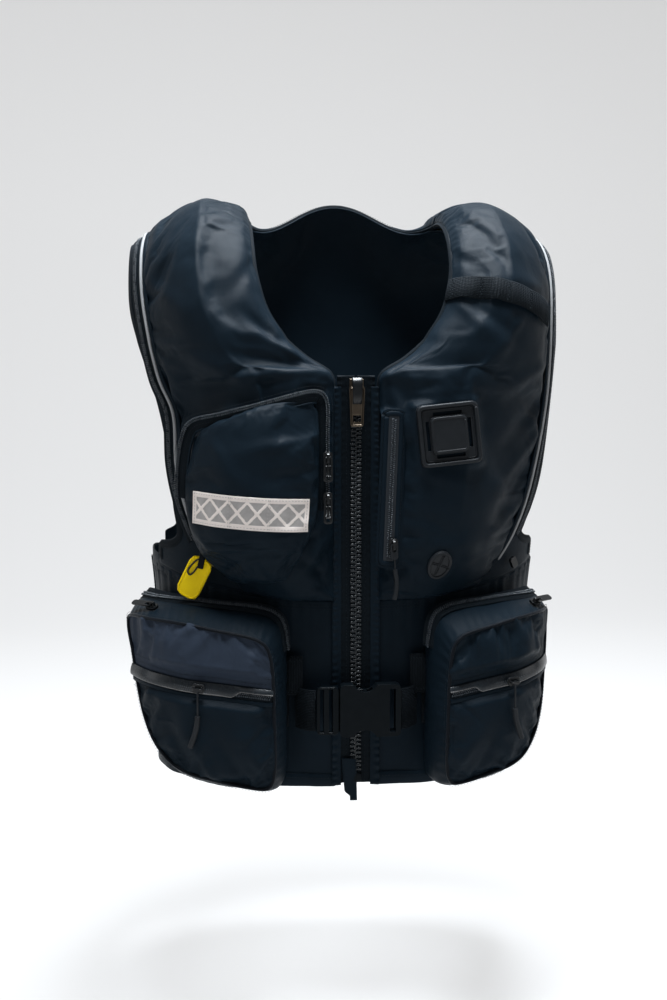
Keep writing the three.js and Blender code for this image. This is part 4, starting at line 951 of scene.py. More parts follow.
def make_cover(side):
    """A front cover of the bladder, swollen and creased, over what is inside it."""
    grid = lobe_grid(side, LOBE_ROWS, LOBE_COLS, -COVER_SINK)
    made = cloth_grid(f"bladder_cover_{side}", grid, NAVY, FRONT)
    settle(made, border(LOBE_ROWS, LOBE_COLS), **PADDED_CLOTH)
    ripple(made, 1.6 * MM, 22, 3.1 if side == "right" else 9.7)
    ripple(made, 0.5 * MM, 70, 5.3)
    creases(made, COVER_FOLDS[side])
    for node, travel in INSIDE[side].items():
        drape_over(made, node, travel=travel)
    for node in ("lash_tab", "cable_port", "phone_zip") if side == "left" else ():
        press(made, node, 7 * MM)
    subdivide(thicken(made, SKIN))
    return place(made, "root", [f"cover_{side}"])


def make_collar():
    """The bladder's cover behind the neck."""
    rows, cols = 140, 50
    turn, share = np.meshgrid(np.linspace(0, 1, rows), np.linspace(0, 1, cols), indexing="ij")
    x, down = collar_place(turn, share)
    swell = np.clip(4 * share * (1 - share), 0, 1) ** 0.5
    points = sheet_point(x, down, flat_height(0 * down, share) - COVER_SINK * swell)
    made = cloth_grid("bladder_cover_collar", points, NAVY, -FRONT)
    settle(made, border(rows, cols), **PADDED_CLOTH)
    ripple(made, 1.6 * MM, 20, 6.6)
    ripple(made, 0.5 * MM, 70, 1.9)
    subdivide(thicken(made, SKIN))
    return place(made, "root", ["collar_cover"])


COVERS = {side: make_cover(side) for side in SIDES}
make_collar()

# ------------------------------------------------------------ harness, back and waist band


def sheet_piece(name, x, down, height, out):
    """Cloth over a grid of places, whose last row is lifted onto the waist band's edge."""
    points = sheet_point(x, down, np.full(np.shape(x), height))
    points[-1, :, 2] += 0.8 * MM
    return cloth_grid(name, points, NAVY, out)


def make_harness(side):
    """The inner panel on the chest."""
    rows, cols = 120, 40
    t, share = np.meshgrid(np.linspace(0, 1, rows), np.linspace(0, 1, cols), indexing="ij")
    inner, edge = inner_at(plain_down(t)), arm_at[side](plain_down(t))
    x, down = lobe_place(SIDES[side] * (inner + share * (edge - inner)), t)
    made = sheet_piece(f"harness_panel_{side}", x, down, 0.0, FRONT)
    ripple(made, 0.5 * MM, 40, 2.0)
    subdivide(thicken(made, 1.8 * MM))
    return place(made, "root", [f"harness_front_{side}"])


def make_back():
    """The inner panel on the back, from the neck and shoulder seams to the waist seam."""
    rows, cols = 110, 110
    t, share = np.meshgrid(np.linspace(0, 1, rows), np.linspace(-1, 1, cols), indexing="ij")
    reach = SHOULDER_HALF * share
    top = np.where(np.abs(reach) < NECK_HALF, neck_down(reach), LOBE_START)
    plain = top + t * (BOTTOM_DOWN - top)
    x = share * back_arm_at(plain)
    down = -(plain + (waist_down(x) - BOTTOM_DOWN) * smooth(t, 0.75, 1))
    made = sheet_piece("back_panel_fabric", x, down, -2.4 * MM, -FRONT)
    settle(made, border(rows, cols), **STRETCHED_CLOTH)
    ripple(made, 1.0 * MM, 18, 4.4)
    subdivide(thicken(made, 1.8 * MM))
    return place(made, "root", ["back_panel"])


def gather_band(obj):
    """Puckers that fade away below the waist seam."""
    depth, pitch, reach, seed, band_radius = 0.9 * MM, 12 * MM, 26 * MM, 3.0, 0.16
    points, normal = coords(obj), normals(obj)
    distance = WAIST - points[:, 2] + SIDE_RISE * (points[:, 0] / 0.188) ** 2
    round_it = np.arctan2(points[:, 0], -points[:, 1]) * band_radius
    wander = np.array([noise.noise(Vector((a * 60 + seed, 0.0, seed))) for a in round_it])
    wave = np.sin(round_it / pitch * 2 * math.pi + 2.5 * wander) * (0.6 + 0.8 * np.abs(wander))
    push = depth * wave * np.exp(-np.maximum(distance, 0) / reach)
    set_coords(obj, points + normal * push[:, None])


# Where each part of the waist band starts and ends, in degrees round from the front middle.
SIDE_SEAM, SEAM_GAP, BAND_START = 90, 0.3, 3.4
BAND_SPANS = {side: (sign * BAND_START, sign * (SIDE_SEAM - SEAM_GAP)) for side, sign in SIDES.items()}
BAND_SPANS["back"] = (SIDE_SEAM + SEAM_GAP, 360 - SIDE_SEAM - SEAM_GAP)


def make_band(part, rows=60):
    """A part of the waist band, gathered along its top."""
    back = part == "back"
    start, end = BAND_SPANS[part]
    share, t = np.meshgrid(np.linspace(0, 1, 170 if back else 110), np.linspace(0, 1, rows))
    round_deg = start + share * (end - start)
    top = band_top(round_deg)
    points = band_point(round_deg, top + t * (HEM - top), 0.0)
    made = cloth_grid(f"waist_panel_{part}", points, NAVY, -FRONT if back else FRONT)
    gather_band(made)
    ripple(made, 1.1 * MM, 26, 8.8, (1, 1, 0.5))
    subdivide(thicken(made, 1.8 * MM))
    return place(made, "root",
                 ["lower_back" if back else f"lower_front_{part}"])


for harness_side in SIDES:
    make_harness(harness_side)
make_back()
for band_part in BAND_SPANS:
    make_band(band_part)

# ------------------------------------------------------------ bladder

BLADDER_SHARES = (0.14, 0.78)


def bladder_height(down, share, ends=1.0):
    """Half of the room under the cover, less what the cover sinks."""
    return 1.0 * MM + np.maximum(flat_height(down, share) - 10 * MM, 0) * 0.5 * ends


def make_bladder():
    """The folded horseshoe bladder, flat inside the covers: two lobes and a collar."""
    pieces = []
    for side in SIDES:
        t, share = np.meshgrid(np.linspace(0, 0.93, 70), np.linspace(*BLADDER_SHARES, 24), indexing="ij")
        x, down = lobe_place(lobe_column(side, t, share), t)
        ends = np.minimum(smooth(t, -0.02, 0.05), 1 - smooth(t, 0.86, 0.94))
        height = bladder_height(down, share, ends)
        pieces.append(cloth_grid(f"bladder_{side}", sheet_point(x, down, height), BLADDER, FRONT))
    turn, share = np.meshgrid(np.linspace(0, 1, 80), np.linspace(*BLADDER_SHARES, 22), indexing="ij")
    x, down = collar_place(turn, share)
    height = bladder_height(0 * down, share)
    pieces.append(cloth_grid("bladder_collar", sheet_point(x, down, height), BLADDER, -FRONT))
    made = join("folded_bladder", *pieces)
    thicken(made, 1.2 * MM)
    return place(made, "root", ["bladder"])


make_bladder()

# ------------------------------------------------------------ zips, piping and bindings

def shade(node, mat, bevel=0.0):
    """Gives a CAD node its material, and rounds its sharp edges."""
    obj = NODES[node]
    if not obj.material_slots:
        obj.data.materials.append(mat)
    for slot in obj.material_slots:
        slot.link = "OBJECT"
        slot.material = mat
    if bevel:
        weld = obj.modifiers.new("weld", "WELD")
        weld.merge_threshold = 0.01 * MM
        round_edges(obj, bevel, 32)


def crossbar(width, thickness, height, around=6):
    """A rounded bar along X, standing on its base, such as one turn of a zip's coil."""
    verts, faces = bead(width, thickness, height, 5, around)
    return [(z, y + height / 2, x) for x, y, z in verts], [face[::-1] for face in faces]


COIL_PITCH = 1.9 * MM


def coil_chain(name, points, ups, width=4.4 * MM, height=1.7 * MM):
    """A closed coil zip: the two coils' turns mesh, with a groove down the middle."""
    places = resample(points, pitch=COIL_PITCH)
    laid = ups_along(points, ups, len(places))
    forwards = unit(np.gradient(places, axis=0))
    across = unit(np.cross(forwards, laid))
    half = crossbar(width * 0.46, COIL_PITCH * 0.66, height)
    left = tiled(name, half, places + across * width * 0.24, laid, GLINT_PAINTED_COIL, forwards)
    shifted = places + forwards * COIL_PITCH * 0.5 - across * width * 0.24
    right = tiled(f"{name}_b", half, shifted, laid, GLINT_PAINTED_COIL, forwards)
    return join(name, left, right)


def tape_band(name, points, ups, width, thickness, low, mat=TAPE):
    """A flat tape along a line."""
    return sweep(name, points, ups, strap_outline(width, thickness, low), mat)


def hem_line(margin, height, lowest, count=420):
    """The line outside the covers and the collar at a distance from their edge, with its normals."""
    t = np.linspace(lowest, 0, 110)
    runs = []
    for side, order in (("right", t), ("left", t[::-1])):
        x = SIDES[side] * (outer_at[side](plain_down(order)) + margin)
        runs.append(np.stack(lobe_place(x, order), -1))
    turn = np.linspace(0, 1, 122)[1:-1]
    x, down = collar_place(turn, 1.0)
    angle = turn * math.pi
    collar = np.stack([x - margin * np.cos(angle), down - margin / RUN * np.sin(angle)], -1)
    places = np.vstack([runs[0], collar, runs[1]])
    x, down = places.T
    points = resample(sheet_point(x, down, np.full(len(x), height)), count=count)
    ups = ups_along(base_point(x, down), outward(x, down), count)
    return soften(points, 4), ups


def make_piping():
    """The reflective piping round the covers, and the seam beside it."""
    points, ups = hem_line(3.6 * MM, 3.4 * MM, 0.95)
    cord = sweep("piping", points, ups, round_outline(3.1 * MM, 3.1 * MM, 12, -1.5 * MM), SILVER)
    flange = sweep("piping_flange", points, ups, strap_outline(6 * MM, 0.8 * MM, -1.9 * MM), SILVER)
    place(join("piping", cord, flange), "root", ["piping"])
    seam, seam_up = hem_line(0.2 * MM, 3.5 * MM, 0.97)
    welt = sweep("piping_seam", seam, seam_up, strap_outline(4.6 * MM, 1.5 * MM, -0.6 * MM), NAVY)
    rows = stitch_rows("piping_stitches", seam, seam_up, (-1.2, 1.2), 1.0 * MM)
    return place(join("piping_seam", welt, *rows))


def make_burst_zip():
    """The zip behind the piping, which the bladder bursts open."""
    points, ups = hem_line(10.4 * MM, 1.7 * MM, 0.9)
    tape = tape_band("burst_tape", points, ups, 13 * MM, 0.7 * MM, -0.7 * MM)
    coil = coil_chain("burst_coil", points, ups, 4.6 * MM, 1.8 * MM)
    rows = stitch_rows("burst_stitch", points, ups, (-5.2, 5.2))
    return place(join("burst_zip_chain", coil, tape, *rows), "root", ["burst_zip"])


def edge_binding(name, points, ups, width=9 * MM, thickness=3.0 * MM, low=-2.4 * MM):
    """Folded tape round a fabric edge, with its stitches."""
    fold = sweep(name, points, ups, strap_outline(width, thickness, low, 0.45), TAPE)
    inset = width / 2 / MM - 1.6
    rows = stitch_rows(name, points, ups, (-inset, inset), thickness + low)
    return place(join(name, fold, *rows))


def make_bindings():
    """The arm openings', the front's and the neck's bound edges."""
    folded_over_both = 5.2 * MM, 5.4 * MM, -2.2 * MM
    for side, sign in SIDES.items():
        t = np.linspace(0, 0.985, 150)
        x, down = lobe_place(sign * (arm_at[side](plain_down(t)) - 2 * MM), t)
        edge_binding(f"arm_binding_{side}", base_point(x, down), outward(x, down))
        t = np.linspace(0.0, 0.99, 170)
        x, down = lobe_place(sign * (inner_at(plain_down(t)) + 1.4 * MM), t)
        edge_binding(f"front_binding_{side}", base_point(x, down), outward(x, down), *folded_over_both)
    x, down = collar_place(np.linspace(0.002, 0.998, 120), 0.012)
    edge_binding("neck_binding", base_point(x, down), outward(x, down), *folded_over_both)


# The main zip: moulded teeth on ribbed tapes, with a puckered facing beside them.
ZIP_LOW, ZIP_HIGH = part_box("main_zip_right")
TOOTH_PITCH = 4.0 * MM
TEETH_TOP, TEETH_BOTTOM, FACING_TOP = -148 * MM, -508 * MM, -152 * MM


def tooth():
    """One moulded tooth: a tapered body and a head that meshes with the other side."""
    verts, faces = round_box(4.6 * MM, 4.0 * MM, 2.6 * MM, 0.6 * MM, 2)
    shaped = []
    for x, y, z in verts:
        taper = 1 - 0.28 * smooth(x, -0.4 * MM, 1.7 * MM)
        shaped.append((x, y * (1 if x < 0 else 0.92), z * float(taper)))
    head, head_faces = round_box(2.2 * MM, 3.6 * MM, 3.3 * MM, 0.8 * MM, 2)
    start = len(shaped)
    shaped += [(x + 2.5 * MM, y, z) for x, y, z in head]
    return shaped, [*faces, *(tuple(i + start for i in face) for face in head_faces)]


def make_zip_side(side):
    """One side of the main zip: teeth, ribbed tape, cord, two seams, and the box on the left."""
    sign = SIDES[side]
    rows = np.arange(TEETH_BOTTOM, TEETH_TOP, TOOTH_PITCH) + (TOOTH_PITCH / 2 if sign > 0 else 0)
    places = np.stack([np.full(len(rows), sign * 2.9 * MM), np.full(len(rows), -FRONT_DEPTH), rows], -1)
    tooth_verts, faces = tooth()
    turned = [(x * -sign, y, z) for x, y, z in tooth_verts]
    if sign > 0:
        faces = [face[::-1] for face in faces]
    verts = (places[:, None] + np.array(turned)[None]).reshape(-1, 3)
    every = [tuple(i + k * len(turned) for i in face) for k in range(len(rows)) for face in faces]
    teeth = mesh_object(f"zip_teeth_{side}", verts, every, TEETH)
    z, share = np.meshgrid(np.linspace(ZIP_LOW[2], ZIP_HIGH[2], 260), np.linspace(0, 1, 12), indexing="ij")
    x = sign * (0.9 + share * 16.4) * MM
    pucker = 0.55 * MM * np.sin(z / (7.5 * MM) * 2 * math.pi + 2 * np.sin(z * 90)) * smooth(share, 0.45, 1)
    y = -FRONT_DEPTH + pucker + 0.3 * MM
    tape = cloth_grid(f"zip_tape_{side}", np.stack([x, y, z], -1), TAPE, FRONT)
    apply_modifiers(thicken(tape, 1.0 * MM))
    line = np.stack([np.full(120, sign * 2.6 * MM), np.full(120, -FRONT_DEPTH - 0.6 * MM),
                     np.linspace(TEETH_BOTTOM - 4 * MM, TEETH_TOP, 120)], -1)
    bead_cord = sweep(f"zip_cord_{side}", line, FRONT, round_outline(2.2 * MM, 1.8 * MM, 8, -0.9 * MM), TAPE)
    seams = []
    for at in (8.5, 13.6):
        row = np.stack([np.full(160, sign * at * MM), np.full(160, -FRONT_DEPTH - 0.35 * MM),
                        np.linspace(ZIP_LOW[2] + 2 * MM, ZIP_HIGH[2] - 2 * MM, 160)], -1)
        seams.append(stitch_line(f"zip_seam_{side}_{at}", row, FRONT))
    pieces = [teeth, tape, bead_cord, *seams]
    if sign > 0:
        box_verts, box_faces = round_box(10 * MM, 5.6 * MM, 8 * MM, 1.0 * MM)
        moved = [(x + 0.4 * MM, y - FRONT_DEPTH, z + TEETH_BOTTOM - 5.5 * MM) for x, y, z in box_verts]
        pieces.append(mesh_object("zip_stop_box", moved, box_faces, PLASTIC))
    return place(join(f"main_zip_{side}_chain", *pieces), "root", [f"main_zip_{side}"])


def make_facings():
    """The covers' inner edges are turned in beside the zip, with a gathered stitched fold."""
    for side, sign in SIDES.items():
        z, share = np.meshgrid(np.linspace(FACING_TOP, HEM + 1 * MM, 330), np.linspace(0, 1, 10),
                               indexing="ij")
        x = sign * (13.5 + share * 8.5) * MM
        wave = np.sin(z / (6.4 * MM) * 2 * math.pi + 3 * np.sin(z * 70 + sign))
        rise = (1.0 + 1.6 * smooth(share, 0, 0.8)) * MM
        y = -FRONT_DEPTH - rise - 0.5 * MM * wave * smooth(share, 0.1, 0.8)
        made = cloth_grid(f"zip_facing_{side}", np.stack([x, y, z], -1), NAVY, FRONT)
        thicken(made, 0.9 * MM)
        place(subdivide(made))


def make_zip_end():
    """The folded tab below the zip, sewn round its edge."""
    centre, across, up, out = node_frame("zip_end_tab")
    co = coords(NODES["zip_end_tab"]) - centre
    x, z = co @ across, co @ up

    def reach(level, sign):
        """How far the tab's outline goes to one side at a level."""
        best = 0.0
        for i in range(len(z)):
            for j in range(len(z)):
                if z[i] <= level <= z[j] and z[j] > z[i]:
                    share = (level - z[i]) / (z[j] - z[i])
                    best = max(best, sign * (x[i] + share * (x[j] - x[i])))
        return best * sign

    levels = np.linspace(z.min() + 0.6 * MM, z.max(), 28)
    left, right = (np.array([reach(level, sign) for level in levels]) for sign in (-1, 1))
    share = np.linspace(0, 1, 12)
    wide = left[:, None] + (right - left)[:, None] * share
    curl = 1.0 * MM * np.sin(share * 3.0)[None] + 0.7 * MM * np.sin(levels / (9 * MM))[:, None]
    points = (centre + across * wide[..., None] + up * levels[:, None, None]
              + out * (0.4 * curl - 1.0 * MM)[..., None])
    made = cloth_grid("zip_end_fold", points, NAVY, FRONT)
    rows = [stitch_line(f"zip_end_row_{k}", points[2:-1, k] + out * 0.2 * MM, out) for k in (1, 10)]
    subdivide(thicken(made, 1.7 * MM))
    place(join("zip_end_stitches", *rows))
    return place(made, "root", ["zip_end_tab"])


def band_ups(angles, z):
    """The waist band's out directions."""
    return unit(band_point(angles, z, 1.0 * MM) - band_point(angles, z, 0.0))


def make_side_seams():
    """A taped seam joins the front and back waist panels at each side."""
    for side, sign in SIDES.items():
        angles = np.full(60, sign * SIDE_SEAM)
        z = np.linspace(float(band_top(sign * SIDE_SEAM)) - 1 * MM, HEM + 0.5 * MM, 60)
        line, ups = band_point(angles, z, 0.2 * MM), band_ups(angles, z)
        section = strap_outline(15 * MM, 2.4 * MM, -1.6 * MM, 0.3)
        tape = sweep(f"side_seam_tape_{side}", line, ups, section, NAVY)
        rows = stitch_rows(f"side_seam_row_{side}", line, ups, (-4.6, 4.6), 0.8 * MM)
        place(join(f"side_seam_{side}", tape, *rows))


def make_hems():
    """The waist band's turned hem, and the stitched and taped seam at its top."""
    for name, (start, end) in BAND_SPANS.items():
        angles = np.linspace(start, end, 160)
        low = np.full(160, HEM + 6.5 * MM) + 0.5 * MM * np.sin(angles / 3.1)
        high = band_top(angles) - 5 * MM
        fold = sweep(f"hem_fold_{name}", band_point(angles, low, 0.3 * MM), band_ups(angles, low),
                     strap_outline(12 * MM, 1.7 * MM, -0.9 * MM, 0.3), NAVY)
        lines = (low + 5.0 * MM, 0.6), (low + 2.0 * MM, 1.1), (high, 0.4), (high - 3 * MM, 0.4)
        rows = [stitch_line(f"hem_row_{name}_{number}", band_point(angles, z, lift * MM), band_ups(angles, z))
                for number, (z, lift) in enumerate(lines)]
        joint = band_point(angles, band_top(angles) + 2 * MM, -1.2 * MM)
        tape = sweep(f"waist_tape_{name}", joint, band_ups(angles, band_top(angles)),
                     strap_outline(16 * MM, 1.6 * MM, -1.2 * MM), NAVY)
        place(join(f"hem_{name}", fold, tape, *rows))


make_piping()
make_burst_zip()
make_bindings()
for zip_side in SIDES:
    make_zip_side(zip_side)
make_facings()
make_zip_end()
make_side_seams()
make_hems()

# ------------------------------------------------------------ chest pocket on the right cover

def cover_share(side, x, down):
    """How far a column is from the zip edge (0) to the piping (1) of a cover."""
    inner, outer = inner_at(down), outer_at[side](down)
    return (np.abs(x) - inner) / (outer - inner)


def cover_top(side, x, z):
    """The height of the CAD cover at a column and a height on the front."""
    down = down_at(x, z)
    return cover_height(down, np.clip(cover_share(side, x, down), 0.04, 0.96))


def front_point(x, z, height):
    """A point standing off the front at a column and a height."""
    return sheet_point(x, down_at(x, z), height)


CHEST_OUTER = track([(0, 134), (0.5, 139), (0.8, 128), (1, 106)])
CHEST_INNER = track([(0, 35), (0.55, 35), (0.8, 46), (1, 64)])
CHEST_TOP, CHEST_BOTTOM = (-186 * MM, -163 * MM), -327 * MM
CHEST_FULLNESS = 15.9 * MM


def chest_pocket_grid(rows, cols):
    """The pocket's front: t runs down, j from its outer side to the zip's side."""
    t, j = np.meshgrid(np.linspace(0, 1, rows), np.linspace(0, 1, cols), indexing="ij")
    top = CHEST_TOP[0] + j * (CHEST_TOP[1] - CHEST_TOP[0])
    z = top + t * (CHEST_BOTTOM - top)
    outer, inner = CHEST_OUTER(t) * MM, CHEST_INNER(t) * MM
    corner = 10 * MM * (1 - smooth(t, 0, 0.1)) ** 2
    x = -((outer - corner) + j * (inner + corner * 0.8 - outer + corner))
    z = z + 5 * MM * np.sin(j * math.pi) * (1 - smooth(t, 0, 0.3))
    across = np.clip(4 * j * (1 - j), 0, 1) ** 0.36
    along = np.clip(4 * t * (1 - t), 0, 1) ** 0.34
    height = cover_top("right", x, z) + 1.4 * MM + CHEST_FULLNESS * across * along
    return front_point(x, z, height)


CHEST_FOLDS = [
    ((-60, -200), (-118, -212), 7, 1.8), ((-46, -226), (-96, -236), 6, -1.6),
    ((-128, -204), (-100, -250), 8, 1.6), ((-132, -296), (-90, -284), 6, 1.8),
    ((-118, -316), (-82, -288), 5, -2.0), ((-80, -322), (-62, -280), 5, 1.8),
    ((-66, -316), (-50, -284), 5, -1.6), ((-104, -324), (-100, -292), 6, 1.8),
    ((-44, -270), (-76, -284), 6, 1.4),
]


def make_chest_pocket():
    """The chest pocket's padded front."""
    rows, cols = 92, 66
    made = cloth_grid("chest_pocket_front", chest_pocket_grid(rows, cols), NAVY, FRONT)
    settle(made, border(rows, cols), **POCKET_CLOTH)
    ripple(made, 1.3 * MM, 24, 12.4)
    ripple(made, 0.4 * MM, 75, 2.2)
    creases(made, CHEST_FOLDS)
    subdivide(thicken(made, 1.2 * MM))
    return place(made, "root", ["chest_pocket"])


STRAIGHT_X = -27.5
CHEST_ZIP = [(-146, -250), (-144.5, -222), (-141, -196), (-134, -181.5), (-112, -175.5), (-85, -168),
             (-58, -160), (-40, -156), (-31, -159), (STRAIGHT_X, -170), (STRAIGHT_X, -195),
             (STRAIGHT_X, -225), (STRAIGHT_X, -262)]
chest_zip_height = track([(-146, 10), (-141, 8.5), (-134, 6), (-100, 4.5), (-31, 4.2), (-27, 5)])


def chest_zip_line(count):
    """The zip's line round the pocket, level along its straight stretch, where the sliders run."""
    x, z = curve(np.array(CHEST_ZIP) * MM, count).T
    straight = cover_top("right", STRAIGHT_X * MM, -215 * MM)
    level = np.where(x > (STRAIGHT_X - 0.7) * MM, straight, cover_top("right", x, z))
    points = front_point(x, z, level + chest_zip_height(x / MM) * MM)
    return soften(points, 6), outward(x, down_at(x, z))


def make_chest_zip():
    """A coil zip round the pocket, its tape on the pocket's side, beside the panel's corded edge."""
    points, ups = chest_zip_line(300)
    across, _, _ = frames_along(points, ups)
    coil = coil_chain("chest_zip_coil", points, ups, 4.2 * MM, 2.0 * MM)
    tape = tape_band("chest_zip_tape", points + across * 4.4 * MM, ups, 11.5 * MM, 0.8 * MM, -0.9 * MM)
    seams = stitch_rows("chest_zip_seam", points, ups, (-4.4, 5.4))
    place(join("chest_zip_chain", coil, tape, *seams), "root", ["chest_zip"])
    edge = sweep("chest_panel_edge", points + across * 10.2 * MM + ups * 0.3 * MM, ups,
                 round_outline(1.7 * MM, 1.8 * MM, 10, -1.3 * MM), NAVY)
    wall = tape_band("chest_zip_wall", points + across * 8.6 * MM, ups, 4.6 * MM, 1.4 * MM, -2.0 * MM, NAVY)
    return place(join("chest_panel_edge", edge, wall), "root")


STRIP_HALF, STRIP_TALL, STRIP_CELL = 52 * MM, 14.5 * MM, 34.7 * MM


def strip_lattice(u, v):
    """1 on the pale heat-pressed bands of the tape, 0 on its prismatic cells: crosses inside a
    border."""
    from_middle = np.abs(((u + STRIP_HALF) / STRIP_CELL) % 1 - 0.5) * STRIP_CELL
    slope = 10.5 / 9.4
    cross = np.abs(np.abs(v) - np.abs(from_middle - 8.8 * MM) * slope) < 1.75 * MM
    frame_band = (np.abs(v) > 9.9 * MM) | (np.abs(u) > STRIP_HALF - 3.6 * MM)
    return (cross | frame_band).astype(float)


def crown_over(skin, centre, along, across, out):
    """How far a surface stands out from a flat part's middle, at a few places of the part."""
    v, u = np.linspace(-STRIP_TALL, STRIP_TALL, 5), np.linspace(-STRIP_HALF, STRIP_HALF, 17)
    depth = np.full((len(v), len(u)), np.nan)
    for i, at_v in enumerate(v):
        for j, at_u in enumerate(u):
            start = centre + along * at_u + across * at_v + out * 40 * MM
            hit = skin.tree.ray_cast(Vector(start), Vector(-out))[0]
            if hit:
                depth[i, j] = np.dot(np.array(hit) - centre, out)
    return u, v, np.where(np.isnan(depth), np.nanmean(depth), depth)


def make_strip(skin):
    """The reflective tape, laid over the pocket's crown and sewn round its border."""
    centre, along, across, out = node_frame("reflective_strip")
    rows, cols = 64, 226
    v, u = np.meshgrid(np.linspace(-STRIP_TALL, STRIP_TALL, rows),
                       np.linspace(-STRIP_HALF, STRIP_HALF, cols), indexing="ij")
    flat = centre + along * u[..., None] + across * v[..., None]
    coarse_u, coarse_v, depth = crown_over(skin, centre, along, across, out)
    bow = np.stack([np.interp(u[0], coarse_u, row) for row in depth])
    full = np.stack([np.interp(v[:, 0], coarse_v, bow[:, j]) for j in range(cols)], 1)
    for _ in range(30):
        wide = np.pad(full, 1, mode="edge")
        full = (wide[:-2, 1:-1] + wide[2:, 1:-1] + wide[1:-1, :-2] + wide[1:-1, 2:] + 2 * full) / 6
    lift = full + 1.6 * MM
    lattice = strip_lattice(u, v)
    points = flat + out * (lift + 0.3 * MM * lattice)[..., None]
    made = cloth_grid("reflective_strip_tape", points, REFLECTIVE, FRONT)
    made.data.materials.append(PRISM)
    cells = as_laid(made, points, lattice).ravel()
    for polygon in made.data.polygons:
        polygon.material_index = int(cells[list(polygon.vertices)].mean() < 0.5)
    thicken(made, 0.7 * MM)
    surface = flat + out * (lift + 0.4 * MM)[..., None]
    seams = [stitch_line(f"strip_row_{index}", surface[index, 3:-3], out, STRIP_THREAD)
             for index in (4, rows - 5)]
    for index in (4, 76, 80, 152, 156, cols - 5):
        seams.append(stitch_line(f"strip_column_{index}", surface[4:-4, index], out, STRIP_THREAD))
    place(made, "root", ["reflective_strip"])
    return place(join("strip_stitches", *seams))


# ------------------------------------------------------------ trim on the left cover

def laid_line(skin, places, count, lift):
    """A line through (x, z) places in mm, laid on the cover from the front."""
    line = curve(np.array(places, float) * MM, count)
    points, ups = [], []
    for x, z in line:
        hit, normal = skin.drop(x, z)
        if hit is None:
            continue
        points.append(hit)
        ups.append(normal if normal[1] < 0 or normal[2] > 0 else -normal)
    points, ups = np.array(points), unit(np.array(ups))
    for _ in range(5):
        ups[1:-1] = unit(ups[:-2] + 2 * ups[1:-1] + ups[2:])
    return soften(points, 5) + ups * lift, ups


def bartack(name, centre, up, along, width, count=9):
    """A dense zigzag of thread across a strap."""
    across = unit(np.cross(along, up))
    places, forwards = [], []
    for k in range(count):
        zigzag = 0.7 if k % 2 else -0.7
        places.append(centre + across * (k / (count - 1) - 0.5) * width + along * zigzag * MM)
        forwards.append(unit(across + along * zigzag))
    return tiled(name, bead(2.2 * MM, 0.8 * MM, 0.7 * MM), np.array(places), np.tile(up, (count, 1)), THREAD,
                 np.array(forwards))


DAISY_LINE = [(84, -66), (92, -64), (102, -63.5), (116, -64), (130, -66), (144, -69.5), (158, -74),
              (171, -80), (182, -86)]


def make_daisy_chain(skin):
    """The ribbed webbing over the left shoulder, bartacked into loops."""
    points, ups = laid_line(skin, DAISY_LINE, 430, 1.6 * MM)
    bulge = np.zeros(len(points))
    share = np.linspace(0, 1, len(points))
    tacks = (0.04, 0.27, 0.5, 0.73, 0.96)
    for low, high in zip(tacks, tacks[1:]):
        inside = (share > low) & (share < high)
        bulge[inside] += 0.9 * MM * np.sin((share[inside] - low) / (high - low) * math.pi) ** 2
    bulge += 0.32 * MM * np.sin(arc_lengths(points, 0) / (2.7 * MM) * 2 * math.pi)
    strap = sweep("daisy_webbing", points + ups * bulge[:, None], ups, strap_outline(21 * MM, 1.7 * MM),
                  WEBBING)
    forward = unit(np.gradient(points, axis=0))
    tack_rows = []
    for at in tacks:
        i = int(at * (len(points) - 1))
        tack_rows.append(bartack(f"tack_{i}", points[i] + ups[i] * 2.0 * MM, ups[i], forward[i], 17 * MM))
    place(strap, "root", ["shoulder_webbing"])
    return place(join("daisy_tacks", *tack_rows))


def on_face(face, places, lift=0.0):
    """Places (x, z) in mm on a flat face, given as its centre, across, up and out."""
    centre, across, up, out = face
    return np.array([centre + across * x * MM + up * z * MM + out * lift for x, z in places])


def make_phone_zip():
    """The zip behind the lash tab: a stitched welt box with a coil zip in its middle."""
    centre, lean, half = node_frame("phone_zip")[0], math.radians(2.2), 65 * MM
    up = np.array([math.sin(lean), 0, math.cos(lean)])
    face = np.array([centre[0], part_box("phone_zip")[0].y, centre[2]]), unit(np.cross(FRONT, up)), up, FRONT
    line = face[0] + up * np.linspace(-half, half, 140)[:, None]
    tape = sweep("phone_zip_tape", line, FRONT, strap_outline(12 * MM, 1.2 * MM, -1.9 * MM), GREY_TAPE)
    coil = coil_chain("phone_zip_coil", line[4:-4], FRONT, 5.0 * MM, 1.5 * MM)
    lip = sweep("phone_welt", closed(on_face(face, rounded_ring(13.5, 134, 3.0))), FRONT,
                strap_outline(4.4 * MM, 1.0 * MM, -1.4 * MM, 0.45), NAVY)
    wide = closed(on_face(face, rounded_ring(18.5, 139, 4.0)))
    seam = stitch_line("phone_seam", wide - FRONT * 1.2 * MM, FRONT)
    outer = sweep("phone_patch", wide - FRONT * 0.4 * MM, FRONT,
                  strap_outline(4.0 * MM, 0.7 * MM, -2.0 * MM, 0.3), NAVY)
    place(join("phone_zip_coil", tape, coil), "root", ["phone_zip"])
    return place(join("phone_zip_welt", lip, outer, seam), "root")


# The lash tab's ridges: size, corner, lift, material and section, in mm.
LASH_RIDGES = {
    "rim": (51.6, 4, -1.6, RUBBER, (3.6, 2.4, 10, -1.0)),
    "step": (45.5, 3, -3.1, RUBBER, (1.2, 1.0, 8, -0.5)),
    "pad_rim": (29.5, 3, -0.4, RUBBER, (2.6, 2.0, 10, -1.0)),
    "seam": (48.4, 3, -2.6, THREAD, (0.7, 0.7, 6, 0.0)),
}


